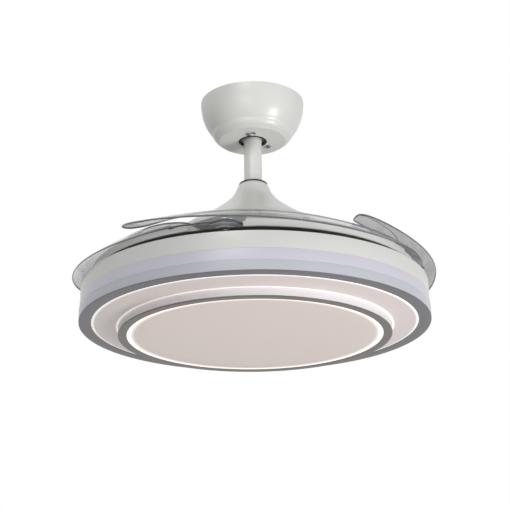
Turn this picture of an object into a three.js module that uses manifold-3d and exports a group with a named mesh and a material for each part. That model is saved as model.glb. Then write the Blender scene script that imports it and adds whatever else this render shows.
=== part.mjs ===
// Retractable blade ceiling fan with a stepped round lamp, folded, in millimetres.
// The origin is the middle of the ceiling bracket's top face, +Z is up and -Y faces the viewer.
import * as THREE from 'three';
import { mergeVertices } from 'three/addons/utils/BufferGeometryUtils.js';
import Module from 'manifold-3d';

const wasm = await Module();
wasm.setup();

// ---- Driving dimensions, mm -------------------------------------------------------------
// Heights inside the fan are measured up from the face of the lamp's outer trim ring.
const DROP = 353; // ceiling down to the face of the outer trim ring
const GAP = 0.3; // clearance between pieces that touch
const WALL = 2; // pressed covers and pans
const SHEET = 1.1; // thin trim rings
const BOARD = 1.6; // circuit boards

const ROUND = 48; // sides of the lamp's large rings
const BOWL = 36; // sides of the canopy and of the rod cover
const SMALL = 16; // sides of rods, pins and bushes

const CANOPY_RIM = 78;
const CANOPY_HOLE = 20.4;
const CANOPY_BOTTOM = 291;
const KEYHOLE_RADIUS = 29; // where the canopy screws stand, from the axis
const KEYHOLE_ANGLES = [-102, 35]; // degrees from +X

const BALL_RADIUS = 24;
const BALL_HEIGHT = 319;
const ROD_RADIUS = 13.35; // 26.7 mm pipe
const ROD_BORE = 11;
const ROD_BOTTOM = 163;
const ROD_TOP = 340;
const PIN_RADIUS = 2.5;
const SHAFT_RADIUS = 8.5;
const SHAFT_BORE = 5;
const SHAFT_BOTTOM = 40;
const SHAFT_TOP = 158;
const YOKE_RADIUS = 17;
const YOKE_BOTTOM = 136;
const YOKE_TOP = 200;
const COVER_TOP = 219.3;
const COVER_RADIUS = 115;

const LAMP_RADIUS = 251.5;
const BAND_RADIUS = 250; // the painted metal band above the lit bands
const BAND_TOP = 54.8;
const BAND_BOTTOM = 30.8;
const LIT_SPLIT = 14.6; // where the two lit side bands meet
const TRIM_OPENING = 233.8;
const DRUM_RADIUS = 195.7; // the inner drum that stands below the outer ring
const DRUM_FACE = -16.2;
const DRUM_OPENING = 183.2;
const RECESS_INNER = -4.3; // the recess slopes down to here at the drum

const MOTOR_RADIUS = 62;
const MOTOR_TOP = 119;
const MOTOR_BOTTOM = 57.5;
const BEARING_RADIUS = 14;
const TRAY_RADIUS = 235;
const TRAY_BOTTOM = 65.6;
const TRAY_TOP = 72.5;
const DECK_TOP = 77.2; // raised middle of the tray
const DECK_RADIUS = 188;
const SHOULDER_EDGE = 75.9; // the tray's raised rim between the blade roots: at its outer edge
const SHOULDER_TOP = 84;

const BLADES = 4;
const FIRST_AZIMUTH = -9.5; // degrees from +X to the first blade's pivot
const PIVOT_RADIUS = 220;
const ROOT_RADIUS = 26;
const ROOT_BOTTOM = 68;
const ROOT_TOP = 72;
const BLADE_THICKNESS = 2.4;
const BLADE_CAMBER = 0.3;
// Edges of a folded blade: sweep clockwise from its pivot in degrees, then the outer edge's
// radius and height, then the inner edge's radius and height.
const BLADE_STATIONS = [
  [4, 245, 70, 206, 70],
  [9, 247, 69.5, 214, 73],
  [13, 249, 68.5, 222, 81.5],
  [20, 252, 66.5, 223, 86.5],
  [30, 256, 63.5, 216, 92],
  [45, 260, 62, 193, 102],
  [60, 262, 63.5, 177, 109],
  [80, 262.5, 68, 174, 111],
  [100, 259.5, 75.5, 186, 108.5],
  [115, 250, 86, 190, 107.5],
  [123, 242.5, 93.5, 193.5, 106.8],
  [127, 238, 97.5, 197, 106],
  [129.5, 235, 99.5, 205, 104],
  [131.3, 231.5, 100.8, 214, 102.2],
  [132, 228, 101.4, 221, 101.6],
];
const BLADE_STEPS = 28;
const CHORD_STEPS = 3;

const COLOURS = {
  white: 0xdcdcd7,
  canopySteel: 0xc9ccd0,
  black: 0x1d1d1f,
  grey: 0x86868a,
  taupe: 0x8d8782,
  lavender: 0xd6d4e6,
  blue: 0xcad0de,
  diffuser: 0xe2d6d2,
  recess: 0xdcd2d2,
  clear: 0xc4c8ca,
  copper: 0xa8693b,
  core: 0x55585c,
  board: 0xe9ebe6,
  plastic: 0x2c2e30,
};

// ---- Helpers ----------------------------------------------------------------------------
const radians = THREE.MathUtils.degToRad;

/** Returns the signed volume, which is negative when the faces point inwards. */
function signedVolume(geometry) {
  const position = geometry.getAttribute('position');
  const corner = [new THREE.Vector3(), new THREE.Vector3(), new THREE.Vector3()];
  let sum = 0;
  for (let i = 0; i < geometry.index.count; i += 3) {
    corner.forEach((point, k) => point.fromBufferAttribute(position, geometry.index.getX(i + k)));
    sum += corner[0].dot(corner[1].clone().cross(corner[2])) / 6;
  }
  return sum;
}

/** Welds shared corners, drops triangles without area and turns the faces outwards. */
function welded(source) {
  const bare = source.clone();
  bare.deleteAttribute('normal');
  bare.deleteAttribute('uv');
  const merged = mergeVertices(bare, 1e-3);
  const kept = [];
  for (let i = 0; i < merged.index.count; i += 3) {
    const [a, b, c] = [0, 1, 2].map((k) => merged.index.getX(i + k));
    if (a !== b && b !== c && c !== a) kept.push(a, b, c);
  }
  merged.setIndex(kept);
  if (signedVolume(merged) < 0) {
    for (let i = 0; i < kept.length; i += 3) [kept[i], kept[i + 1]] = [kept[i + 1], kept[i]];
    merged.setIndex(kept);
  }
  return merged;
}

/** Turns [radius, height] points about the Z axis. A profile off the axis closes on itself. */
function turned(profile, sides = SMALL) {
  const points = profile.map(([radius, height]) => new THREE.Vector2(radius, height));
  if (profile[0][0] > 0) points.push(points[0].clone());
  return welded(new THREE.LatheGeometry(points, sides).rotateX(Math.PI / 2));
}

/** A ring of rectangular section. */
function ring(inner, outer, bottom, top, sides = SMALL) {
  return turned([[inner, bottom], [outer, bottom], [outer, top], [inner, top]], sides);
}

/** A solid round bar. */
function bar(radius, bottom, top, sides = SMALL) {
  return turned([[0, bottom], [radius, bottom], [radius, top], [0, top]], sides);
}

/** A box given by its two corners. */
function block([x0, y0, z0], [x1, y1, z1]) {
  const box = new THREE.BoxGeometry(x1 - x0, y1 - y0, z1 - z0);
  return welded(box.translate((x0 + x1) / 2, (y0 + y1) / 2, (z0 + z1) / 2));
}

/** Extrudes a closed outline upwards between two heights. */
function slab(shape, bottom, top, curveSegments = 6) {
  const depth = top - bottom;
  const options = { depth, bevelEnabled: false, curveSegments };
  return welded(new THREE.ExtrudeGeometry(shape, options).translate(0, 0, bottom));
}

/** A thin shell under an outline of [radius, height] points, walled square to the outline. */
function shell(outline, wall, sides) {
  const inner = outline.map(([radius, height], i) => {
    const before = outline[Math.max(i - 1, 0)];
    const after = outline[Math.min(i + 1, outline.length - 1)];
    const run = new THREE.Vector2(after[0] - before[0], after[1] - before[1]).normalize();
    return [radius + run.y * wall, height - run.x * wall];
  });
  return turned([...outline, ...inner.reverse()], sides);
}

function toSolid(geometry) {
  const vertProperties = new Float32Array(geometry.getAttribute('position').array);
  const triVerts = new Uint32Array(geometry.index.array);
  return new wasm.Manifold(new wasm.Mesh({ numProp: 3, vertProperties, triVerts }));
}

function toGeometry(solid) {
  const mesh = solid.getMesh();
  const geometry = new THREE.BufferGeometry();
  geometry.setAttribute('position', new THREE.BufferAttribute(mesh.vertProperties, 3));
  geometry.setIndex(new THREE.BufferAttribute(mesh.triVerts, 1));
  return geometry;
}

/** Cuts every tool out of a body. */
function cut(body, ...tools) {
  return toGeometry(tools.reduce((rest, tool) => rest.subtract(toSolid(tool)), toSolid(body)));
}

/** Joins bodies that overlap into one. */
function joined(first, ...others) {
  return toGeometry(others.reduce((all, other) => all.add(toSolid(other)), toSolid(first)));
}

/** Makes a named mesh with its finish. */
function piece(name, geometry, color, roughness = 0.5, metalness = 0) {
  const mesh = new THREE.Mesh(geometry, new THREE.MeshStandardMaterial({ color, roughness, metalness }));
  mesh.name = name;
  return mesh;
}

function polar(radius, degrees) {
  return [radius * Math.cos(radians(degrees)), radius * Math.sin(radians(degrees))];
}

// ---- Ceiling mount: bracket, canopy and what they hide ----------------------------------
function hangerBracket() {
  const thickness = 2.5;
  const halfLength = 50;
  const halfWidth = 28;
  const armReach = 31; // clear of the ball
  const armHalfWidth = 15;
  const seat = { bottom: 302, top: 306, radius: 34.5, lower: 17.3, upper: 20.7 };
  const entry = 14.3; // half the opening that the rod slides in by
  const anchorSlot = { inner: 36, outer: 46, halfWidth: 3 };
  const wireHole = { radius: 6, x: 17 };
  const plateBottom = DROP - thickness;
  const plate = block([-halfLength, -halfWidth, plateBottom], [halfLength, halfWidth, DROP]);
  const arms = [-1, 1].map((side) => {
    const ends = [side * armReach, side * (armReach + thickness)].sort((a, b) => a - b);
    return block([ends[0], -armHalfWidth, seat.bottom], [ends[1], armHalfWidth, DROP - 1]);
  });
  const cup = turned([
    [seat.lower, seat.bottom], [seat.radius, seat.bottom], [seat.radius, seat.top],
    [seat.upper, seat.top],
  ], 24);
  const opening = block([-entry, 0, seat.bottom - 1], [entry, seat.radius + 1, seat.top + 1]);
  const slots = [-1, 1].map((side) => {
    const ends = [side * anchorSlot.inner, side * anchorSlot.outer].sort((a, b) => a - b);
    const y = anchorSlot.halfWidth;
    return block([ends[0], -y, plateBottom - 1], [ends[1], y, DROP + 1]);
  });
  const wires = bar(wireHole.radius, plateBottom - 1, DROP + 1, 12).translate(wireHole.x, 0, 0);
  return cut(joined(plate, ...arms, cut(cup, opening)), ...slots, wires);
}

/** The canopy's outline from its rim down to the hole in its bottom. */
function canopyOutline() {
  return [
    [CANOPY_RIM, DROP], [77.2, 341], [75.8, 333], [71.8, 321], [65.6, 309], [57.4, 298],
    [50, CANOPY_BOTTOM], [CANOPY_HOLE, CANOPY_BOTTOM],
  ];
}

function canopy() {
  const keyhole = { neck: 2.4, eye: 4.3, turn: 13 };
  const tools = KEYHOLE_ANGLES.flatMap((angle) => {
    const low = CANOPY_BOTTOM - 1;
    const high = CANOPY_BOTTOM + WALL + 1;
    const rounds = [[keyhole.neck, 0], [keyhole.neck, keyhole.turn / 2], [keyhole.eye, keyhole.turn]];
    return rounds.map(([radius, ahead]) => {
      const [x, y] = polar(KEYHOLE_RADIUS, angle + ahead);
      return bar(radius, low, high, 12).translate(x, y, 0);
    });
  });
  return cut(shell(canopyOutline(), WALL, BOWL), ...tools);
}

function canopyScrew() {
  const headRadius = 3.6;
  const shankRadius = 1.9;
  const headTop = CANOPY_BOTTOM - GAP;
  return turned([
    [0, headTop - 2.4], [2.4, headTop - 2.4], [headRadius, headTop - 1], [headRadius, headTop],
    [shankRadius, headTop], [shankRadius, 302 - GAP], [0, 302 - GAP],
  ], 10);
}

function ceilingMount() {
  const group = new THREE.Group();
  const receiver = block([-32, 25, 322], [32, 47, 350.2]);
  const terminals = block([33.8, -15, 318], [47, 15, 346]);
  group.add(
    piece('hanger_bracket', hangerBracket(), COLOURS.canopySteel, 0.4, 0.9),
    piece('canopy', canopy(), COLOURS.white, 0.42),
    piece('remote_receiver', receiver, COLOURS.board, 0.6),
    piece('terminal_block', terminals, COLOURS.board, 0.6),
  );
  KEYHOLE_ANGLES.forEach((angle, i) => {
    const screw = piece(`canopy_screw_${i + 1}`, canopyScrew(), COLOURS.canopySteel, 0.35, 0.9);
    const [x, y] = polar(KEYHOLE_RADIUS, angle);
    screw.position.set(x, y, 0);
    group.add(screw);
  });
  return group;
}

// ---- Suspension: ball, rod, yoke and rod cover ------------------------------------------
/** A pin that lies along X. */
function crossPin(radius, halfLength) {
  return bar(radius, -halfLength, halfLength, 10).rotateY(Math.PI / 2);
}

function hangerBall() {
  const flat = 22.4; // the ball is cut flat at its top and bottom
  const arc = [];
  const steps = 8;
  const end = Math.asin(flat / BALL_RADIUS);
  for (let i = 0; i <= steps; i += 1) {
    const angle = -end + (2 * end * i) / steps;
    arc.push([BALL_RADIUS * Math.cos(angle), BALL_RADIUS * Math.sin(angle)]);
  }
  const bore = ROD_RADIUS + GAP;
  const body = turned([[bore, -8], [bore, -14], ...arc.slice(1, -1), [bore, 14], [bore, 8]], 16);
  return cut(body, crossPin(PIN_RADIUS + GAP, BALL_RADIUS + 2));
}

function downrod() {
  const tube = ring(ROD_BORE, ROD_RADIUS, ROD_BOTTOM, ROD_TOP, 16);
  const holes = [BALL_HEIGHT, (ROD_BOTTOM + YOKE_TOP) / 2].map((height) => (
    crossPin(PIN_RADIUS + GAP, ROD_RADIUS + 4).translate(0, 0, height)
  ));
  return cut(tube, ...holes);
}

/** The yoke that joins the rod to the motor shaft, with the flange that the rod cover stands on. */
function yoke() {
  const shoulder = ROD_BOTTOM - GAP;
  const flange = { radius: 99, bottom: 141, top: 143 };
  const body = turned([
    [SHAFT_RADIUS + GAP, YOKE_BOTTOM], [YOKE_RADIUS, YOKE_BOTTOM], [YOKE_RADIUS, flange.bottom],
    [flange.radius, flange.bottom], [flange.radius, flange.top], [YOKE_RADIUS, flange.top],
    [YOKE_RADIUS, YOKE_TOP], [ROD_RADIUS + GAP, YOKE_TOP], [ROD_RADIUS + GAP, shoulder],
    [SHAFT_RADIUS + GAP, shoulder],
  ], 16);
  const pinHole = crossPin(PIN_RADIUS + GAP, YOKE_RADIUS + 2);
  return cut(body, pinHole.translate(0, 0, (ROD_BOTTOM + YOKE_TOP) / 2));
}

/** The pin that holds the rod in the yoke, with its flat head. */
function yokePin() {
  const reach = YOKE_RADIUS + 4;
  return turned([
    [0, -YOKE_RADIUS - 2], [4, -YOKE_RADIUS - 2], [4, -YOKE_RADIUS - GAP],
    [PIN_RADIUS, -YOKE_RADIUS - GAP], [PIN_RADIUS, reach], [0, reach],
  ], 10).rotateY(Math.PI / 2);
}

/** The rod cover's outline: a narrow neck that flares like a trumpet. */
function coverOutline() {
  return [
    [ROD_RADIUS + GAP, COVER_TOP], [20.7, COVER_TOP], [23.8, 213.7], [28.3, 204], [37.5, 192],
    [53.5, 178], [79, 159.5], [101, 146.5], [COVER_RADIUS, 136],
    [COVER_RADIUS, 130.5],
  ];
}

/** The lead from the ball to the lamp: it passes beside both pins and enters the hollow shaft. */
function supplyLead() {
  const radius = 2.3;
  const beside = 6;
  const route = [
    [beside, 334], [beside, 250], [beside, 185], [beside - 0.6, 174], [1, 161], [0, 150],
    [0, 90], [0, 32],
  ].map(([y, height]) => new THREE.Vector3(0, y, height));
  const extrudePath = new THREE.CatmullRomCurve3(route, false, 'centripetal');
  const section = new THREE.Shape().absarc(0, 0, radius, 0, 2 * Math.PI, false);
  return welded(new THREE.ExtrudeGeometry(section, { extrudePath, steps: 26, curveSegments: 4 }));
}

function suspension() {
  const group = new THREE.Group();
  const ball = piece('hanger_ball', hangerBall(), COLOURS.black, 0.45);
  const ballPin = piece('ball_pin', crossPin(PIN_RADIUS, BALL_RADIUS - 2), COLOURS.canopySteel, 0.3, 1);
  ball.position.z = BALL_HEIGHT;
  ballPin.position.z = BALL_HEIGHT;
  const coverPin = piece('yoke_pin', yokePin(), COLOURS.canopySteel, 0.3, 1);
  coverPin.position.z = (ROD_BOTTOM + YOKE_TOP) / 2;
  const clip = ring(PIN_RADIUS + GAP, 5, -0.8, 0.8, 10).rotateY(Math.PI / 2);
  const pinClip = piece('yoke_pin_clip', clip, COLOURS.canopySteel, 0.3, 1);
  pinClip.position.set(YOKE_RADIUS + 1.6, 0, coverPin.position.z);
  const seal = ring(ROD_RADIUS + GAP, 21, COVER_TOP + GAP, 221.6, 24);
  group.add(
    ball, ballPin, coverPin, pinClip,
    piece('downrod', downrod(), COLOURS.white, 0.4),
    piece('yoke', yoke(), COLOURS.white, 0.45),
    piece('cover_seal', seal, COLOURS.black, 0.8),
    piece('rod_cover', shell(coverOutline(), WALL, BOWL), COLOURS.white, 0.4),
    piece('supply_lead', supplyLead(), COLOURS.plastic, 0.6),
  );
  return group;
}

// ---- Motor stator, on the fixed hollow shaft --------------------------------------------
function statorCore() {
  const teeth = 12;
  const hub = 25;
  const neck = 3.5;
  const shoulder = 45;
  const tip = 51;
  const shape = new THREE.Shape();
  for (let i = 0; i < teeth; i += 1) {
    const centre = (360 / teeth) * i;
    const spread = (width, radius) => THREE.MathUtils.radToDeg(Math.asin(width / radius));
    const outline = [
      [hub, -spread(neck, hub)], [shoulder, -spread(neck, shoulder)], [shoulder + 2, -12],
      [tip, -12], [tip, 12], [shoulder + 2, 12], [shoulder, spread(neck, shoulder)],
      [hub, spread(neck, hub)],
    ];
    outline.forEach(([radius, offset], k) => {
      const [x, y] = polar(radius, centre + offset);
      if (i === 0 && k === 0) shape.moveTo(x, y);
      else shape.lineTo(x, y);
    });
  }
  shape.holes.push(new THREE.Path().absarc(0, 0, SHAFT_RADIUS + GAP, 0, 2 * Math.PI, true));
  return slab(shape, 75, 99, 8);
}

function stator() {
  const group = new THREE.Group();
  const nut = new THREE.Shape();
  for (let i = 0; i < 6; i += 1) {
    const [x, y] = polar(15, i * 60);
    if (i === 0) nut.moveTo(x, y);
    else nut.lineTo(x, y);
  }
  nut.holes.push(new THREE.Path().absarc(0, 0, SHAFT_RADIUS + 1, 0, 2 * Math.PI, true));
  const shaft = ring(SHAFT_BORE, SHAFT_RADIUS, SHAFT_BOTTOM, SHAFT_TOP);
  group.add(
    piece('motor_shaft', shaft, COLOURS.canopySteel, 0.25, 1),
    piece('stator_core', statorCore(), COLOURS.core, 0.5, 0.8),
    piece('upper_winding', ring(27, 44.5, 99 + GAP, 106), COLOURS.copper, 0.4, 0.6),
    piece('lower_winding', ring(27, 44.5, 68.5, 75 - GAP), COLOURS.copper, 0.4, 0.6),
    piece('shaft_nut', slab(nut, 43.5, 50 - GAP, 4), COLOURS.canopySteel, 0.3, 1),
  );
  return group;
}

// ---- Lamp ---------------------------------------------------------------------------------
function outerTrim() {
  return turned([
    [TRIM_OPENING, 0], [LAMP_RADIUS, 0], [LAMP_RADIUS, SHEET], [245.2, SHEET], [245.2, 13],
    [243.2, 13], [243.2, SHEET], [TRIM_OPENING, SHEET],
  ], ROUND);
}

function recessDiffuser() {
  const rest = SHEET + GAP;
  const inner = DRUM_RADIUS + GAP;
  return turned([
    [242.8, rest], [242.8, rest + WALL], [232, rest + WALL - 0.8], [inner, RECESS_INNER + WALL],
    [inner, RECESS_INNER], [232.8, GAP], [233.4, rest],
  ], ROUND);
}

function innerTrim() {
  const top = DRUM_FACE + SHEET;
  return turned([
    [DRUM_OPENING, DRUM_FACE], [DRUM_RADIUS, DRUM_FACE], [DRUM_RADIUS, top], [191.6, top],
    [191.6, top + 9], [190, top + 9], [190, top], [DRUM_OPENING, top],
  ], ROUND);
}

/** The white pan that carries the light boards: a deep middle with a raised outer shelf. */
function reflectorPan() {
  const hole = 20;
  const floor = 8;
  const well = 189.5;
  const shelf = 20.5;
  const rim = 242.5;
  const sheet = 1.5;
  return turned([
    [hole, floor], [well, floor], [well, shelf], [rim, shelf], [rim, 50 - GAP],
    [rim - sheet, 50 - GAP], [rim - sheet, shelf + sheet], [well - sheet, shelf + sheet],
    [well - sheet, floor + sheet], [hole, floor + sheet],
  ], ROUND);
}

function lamp() {
  const group = new THREE.Group();
  const upperBand = turned([
    [243.6, LIT_SPLIT + GAP / 2], [LAMP_RADIUS, LIT_SPLIT + GAP / 2],
    [BAND_RADIUS, BAND_BOTTOM - GAP], [243.6, BAND_BOTTOM - GAP],
  ], ROUND);
  const lowerBand = ring(245.5, LAMP_RADIUS, SHEET + GAP, LIT_SPLIT - GAP / 2, ROUND);
  const drumTop = DRUM_FACE + SHEET + GAP;
  const base = ring(SHAFT_RADIUS + GAP, 244.2, 50, 51.8, ROUND);
  const driver = block([45, -22, 24], [141, 22, 50 - GAP]);
  group.add(
    piece('lamp_base_plate', base, COLOURS.black, 0.6, 0.3),
    piece('lamp_housing', ring(244.6, BAND_RADIUS, BAND_BOTTOM, BAND_TOP, ROUND), COLOURS.white, 0.4),
    piece('upper_light_band', upperBand, COLOURS.lavender, 0.35),
    piece('lower_light_band', lowerBand, COLOURS.blue, 0.35),
    piece('outer_trim_ring', outerTrim(), COLOURS.grey, 0.35, 0.6),
    piece('recess_diffuser', recessDiffuser(), COLOURS.recess, 0.4),
    piece('drum_light_band', ring(192.6, DRUM_RADIUS, drumTop, -1, ROUND), COLOURS.blue, 0.35),
    piece('inner_trim_ring', innerTrim(), COLOURS.taupe, 0.35, 0.6),
    piece('centre_diffuser', bar(189.4, drumTop, drumTop + 2.5, ROUND), COLOURS.diffuser, 0.35),
    piece('reflector_pan', reflectorPan(), COLOURS.board, 0.6, 0.1),
    piece('outer_led_board', ring(202, 230, 20.2 - BOARD, 20.2, ROUND), COLOURS.board, 0.5),
    piece('centre_led_board', ring(30, 170, 7.7 - BOARD, 7.7, 24), COLOURS.board, 0.5),
    piece('led_driver', driver, COLOURS.board, 0.5),
  );
  return group;
}

// ---- Rotor: motor shells, magnets, tray and pivots --------------------------------------
function upperShell() {
  const inner = MOTOR_RADIUS - 2.5;
  const flange = 80;
  const seat = BEARING_RADIUS + GAP;
  const bottom = DECK_TOP + GAP;
  return turned([
    [inner, bottom], [flange, bottom], [flange, bottom + 2.3], [MOTOR_RADIUS, bottom + 2.3],
    [MOTOR_RADIUS, MOTOR_TOP - 7], [MOTOR_RADIUS - 7, MOTOR_TOP], [seat, MOTOR_TOP],
    [seat, MOTOR_TOP - 2.5], [inner - 5.5, MOTOR_TOP - 2.5], [inner, MOTOR_TOP - 8],
  ], BOWL);
}

function lowerShell() {
  const inner = MOTOR_RADIUS - 2.5;
  const flange = 80;
  const seat = BEARING_RADIUS + GAP;
  const top = DECK_TOP - 2.2 - GAP;
  return turned([
    [seat, MOTOR_BOTTOM], [MOTOR_RADIUS, MOTOR_BOTTOM], [MOTOR_RADIUS, top - 2.3],
    [flange, top - 2.3], [flange, top], [inner, top], [inner, MOTOR_BOTTOM + 2.5],
    [seat, MOTOR_BOTTOM + 2.5],
  ], BOWL);
}

/** The shape of one blade's pocket in the tray, at the blade's own azimuth. */
function pocket() {
  const clearance = 2.5;
  const along = 48; // the way that the folded blade leaves its root
  const rimAlong = 76; // how far that way the raised rim stays away from the blade
  const radius = ROOT_RADIUS + clearance;
  const low = TRAY_BOTTOM - 1;
  const high = SHOULDER_TOP + 1;
  const round = bar(radius, low, high, 24);
  const way = block([-17, -along, low], [radius, 0, high]);
  const aboveRim = block([-17, -rimAlong, TRAY_TOP], [radius, radius, high]);
  return joined(round, way, aboveRim).translate(PIVOT_RADIUS, 0, 0);
}

function tray() {
  const sheet = 2.2;
  const hole = MOTOR_RADIUS + 2;
  const flank = { foot: 206, crest: 209, brow: 222 }; // radii of the raised rim's inner side
  const body = turned([
    [TRAY_RADIUS, TRAY_BOTTOM], [TRAY_RADIUS, SHOULDER_EDGE], [flank.brow, SHOULDER_TOP],
    [flank.crest, SHOULDER_TOP], [flank.foot, TRAY_TOP], [DECK_RADIUS + 2.7, TRAY_TOP],
    [DECK_RADIUS, DECK_TOP], [hole, DECK_TOP], [hole, DECK_TOP - sheet],
    [DECK_RADIUS - 1.3, DECK_TOP - sheet], [DECK_RADIUS + 1.4, TRAY_TOP - sheet],
    [flank.foot + 1.7, TRAY_TOP - sheet], [flank.crest + 1.7, SHOULDER_TOP - sheet],
    [flank.brow - 0.6, SHOULDER_TOP - sheet], [TRAY_RADIUS - sheet, SHOULDER_EDGE - 1.2],
    [TRAY_RADIUS - sheet, TRAY_BOTTOM],
  ], ROUND);
  return cut(body, ...azimuths().map((angle) => pocket().rotateZ(radians(angle))));
}

/** The steel spider whose four arms hold the blade pivots from above. */
function spider() {
  const bottom = DECK_TOP + GAP;
  const top = bottom + 2;
  const halfWidth = 15;
  const hub = ring(82, 120, bottom, top, BOWL);
  const arms = azimuths().flatMap((angle) => [
    block([100, -halfWidth, bottom], [PIVOT_RADIUS, halfWidth, top]).rotateZ(radians(angle)),
    bar(halfWidth, bottom, top, 20).translate(PIVOT_RADIUS, 0, 0).rotateZ(radians(angle)),
  ]);
  const holes = azimuths().map((angle) => (
    bar(4 + GAP, bottom - 1, top + 1, 12).translate(PIVOT_RADIUS, 0, 0).rotateZ(radians(angle))
  ));
  return cut(joined(hub, ...arms), ...holes);
}

function pivotPin() {
  const head = DECK_TOP + 2 + 2 * GAP;
  return turned([
    [0, 64], [8, 64], [8, 65.3], [4, 65.3], [4, head], [8, head], [8, head + 1.6], [0, head + 1.6],
  ], 12);
}

function rotor() {
  const group = new THREE.Group();
  const bearing = (bottom) => ring(SHAFT_RADIUS + GAP, BEARING_RADIUS, bottom, bottom + 8, 24);
  const magnets = ring(52, MOTOR_RADIUS - 2.5 - GAP, 64, 109, BOWL);
  group.add(
    piece('motor_upper_shell', upperShell(), COLOURS.white, 0.45, 0.3),
    piece('motor_lower_shell', lowerShell(), COLOURS.core, 0.45, 0.6),
    piece('magnet_ring', magnets, COLOURS.black, 0.5, 0.4),
    piece('upper_bearing', bearing(MOTOR_TOP - 8), COLOURS.canopySteel, 0.25, 1),
    piece('lower_bearing', bearing(MOTOR_BOTTOM - 2.5), COLOURS.canopySteel, 0.25, 1),
    piece('blade_tray', tray(), COLOURS.white, 0.45),
    piece('pivot_spider', spider(), COLOURS.canopySteel, 0.4, 0.9),
  );
  return group;
}

// ---- Blades -------------------------------------------------------------------------------
function azimuths() {
  return Array.from({ length: BLADES }, (_, i) => FIRST_AZIMUTH + (360 / BLADES) * i);
}

/** Reads the blade's edges at a sweep angle from smooth curves through the stations. */
function bladeEdges() {
  const outer = BLADE_STATIONS.map(([sweep, radius, height]) => new THREE.Vector3(radius, height, sweep));
  const inner = BLADE_STATIONS.map(([sweep, , , radius, height]) => new THREE.Vector3(radius, height, sweep));
  return [outer, inner].map((points) => new THREE.CatmullRomCurve3(points, false, 'centripetal'));
}

/** The folded blade as one closed sheet in its pivot's frame: X out from the fan, Y anticlockwise. */
function bladeSheet() {
  const [outer, inner] = bladeEdges();
  const positions = [];
  const index = [];
  const row = CHORD_STEPS + 1;
  for (const side of [-1, 1]) {
    for (let i = 0; i <= BLADE_STEPS; i += 1) {
      const from = outer.getPoint(i / BLADE_STEPS);
      const to = inner.getPoint(i / BLADE_STEPS);
      for (let j = 0; j <= CHORD_STEPS; j += 1) {
        const t = j / CHORD_STEPS;
        const here = from.clone().lerp(to, t);
        const crown = BLADE_CAMBER * (to.y - from.y) * t * (1 - t);
        const [x, y] = polar(here.x, -here.z);
        positions.push(x - PIVOT_RADIUS, y, here.y + crown + (side * BLADE_THICKNESS) / 2);
      }
    }
  }
  const at = (side, i, j) => side * row * (BLADE_STEPS + 1) + i * row + j;
  const quad = (a, b, c, d) => index.push(a, b, c, a, c, d);
  for (let i = 0; i < BLADE_STEPS; i += 1) {
    for (let j = 0; j < CHORD_STEPS; j += 1) {
      quad(at(0, i, j), at(0, i, j + 1), at(0, i + 1, j + 1), at(0, i + 1, j));
      quad(at(1, i, j), at(1, i + 1, j), at(1, i + 1, j + 1), at(1, i, j + 1));
    }
    quad(at(0, i, 0), at(0, i + 1, 0), at(1, i + 1, 0), at(1, i, 0));
    quad(at(0, i, CHORD_STEPS), at(1, i, CHORD_STEPS), at(1, i + 1, CHORD_STEPS), at(0, i + 1, CHORD_STEPS));
  }
  for (let j = 0; j < CHORD_STEPS; j += 1) {
    quad(at(0, 0, j), at(1, 0, j), at(1, 0, j + 1), at(0, 0, j + 1));
    quad(at(0, BLADE_STEPS, j), at(0, BLADE_STEPS, j + 1), at(1, BLADE_STEPS, j + 1), at(1, BLADE_STEPS, j));
  }
  const geometry = new THREE.BufferGeometry();
  geometry.setAttribute('position', new THREE.Float32BufferAttribute(positions, 3));
  geometry.setIndex(index);
  return welded(geometry);
}

function blade() {
  const disc = bar(ROOT_RADIUS, ROOT_BOTTOM, ROOT_TOP, 24);
  const hole = bar(8, ROOT_BOTTOM - 1, ROOT_TOP + 1, SMALL);
  return cut(joined(disc, bladeSheet()), hole);
}

/** The bush that a blade turns on, with the flange that its screws pass through. */
function bladeHub() {
  return turned([
    [4 + GAP, 66], [15, 66], [15, ROOT_BOTTOM - GAP], [7.7, ROOT_BOTTOM - GAP],
    [7.7, DECK_TOP - GAP], [4 + GAP, DECK_TOP - GAP],
  ], SMALL);
}

function bladeStation(number, azimuth) {
  const group = new THREE.Group();
  group.rotation.z = radians(azimuth);
  const atPivot = new THREE.Group();
  atPivot.position.x = PIVOT_RADIUS;
  const spring = ring(8.1, 12.5, ROOT_TOP + GAP, DECK_TOP - GAP);
  atPivot.add(
    piece(`blade_${number}`, blade(), COLOURS.clear, 0.08),
    piece(`blade_hub_${number}`, bladeHub(), COLOURS.plastic, 0.4, 0.4),
    piece(`return_spring_${number}`, spring, COLOURS.canopySteel, 0.3, 1),
    piece(`pivot_pin_${number}`, pivotPin(), COLOURS.canopySteel, 0.3, 1),
  );
  const [x, y] = polar(182, -58);
  const post = piece(`rest_post_${number}`, bar(5, DECK_TOP + GAP, 101, 10), COLOURS.plastic, 0.8);
  post.position.set(x, y, 0);
  group.add(atPivot, post);
  return group;
}

// ---- The whole fan ------------------------------------------------------------------------
const fan = new THREE.Group();
fan.position.z = -DROP;
fan.add(ceilingMount(), suspension(), stator(), lamp(), rotor());
azimuths().forEach((azimuth, i) => fan.add(bladeStation(i + 1, azimuth)));

export default fan;
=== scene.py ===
"""Retractable blade ceiling fan with a stepped round lamp: its looks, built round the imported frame.

Sizes stand in millimetres in the classes and turn to metres in the meshes. Heights are given above
the face of the lamp's outer trim ring, as in the part's source, and DROP takes them down from the
ceiling, where the frame's origin is. -Y faces the viewer.
"""

import logging
import math
from dataclasses import dataclass
from enum import Enum
from typing import Sequence

import bmesh
import bpy
from mathutils import Euler, Matrix, Vector

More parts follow.
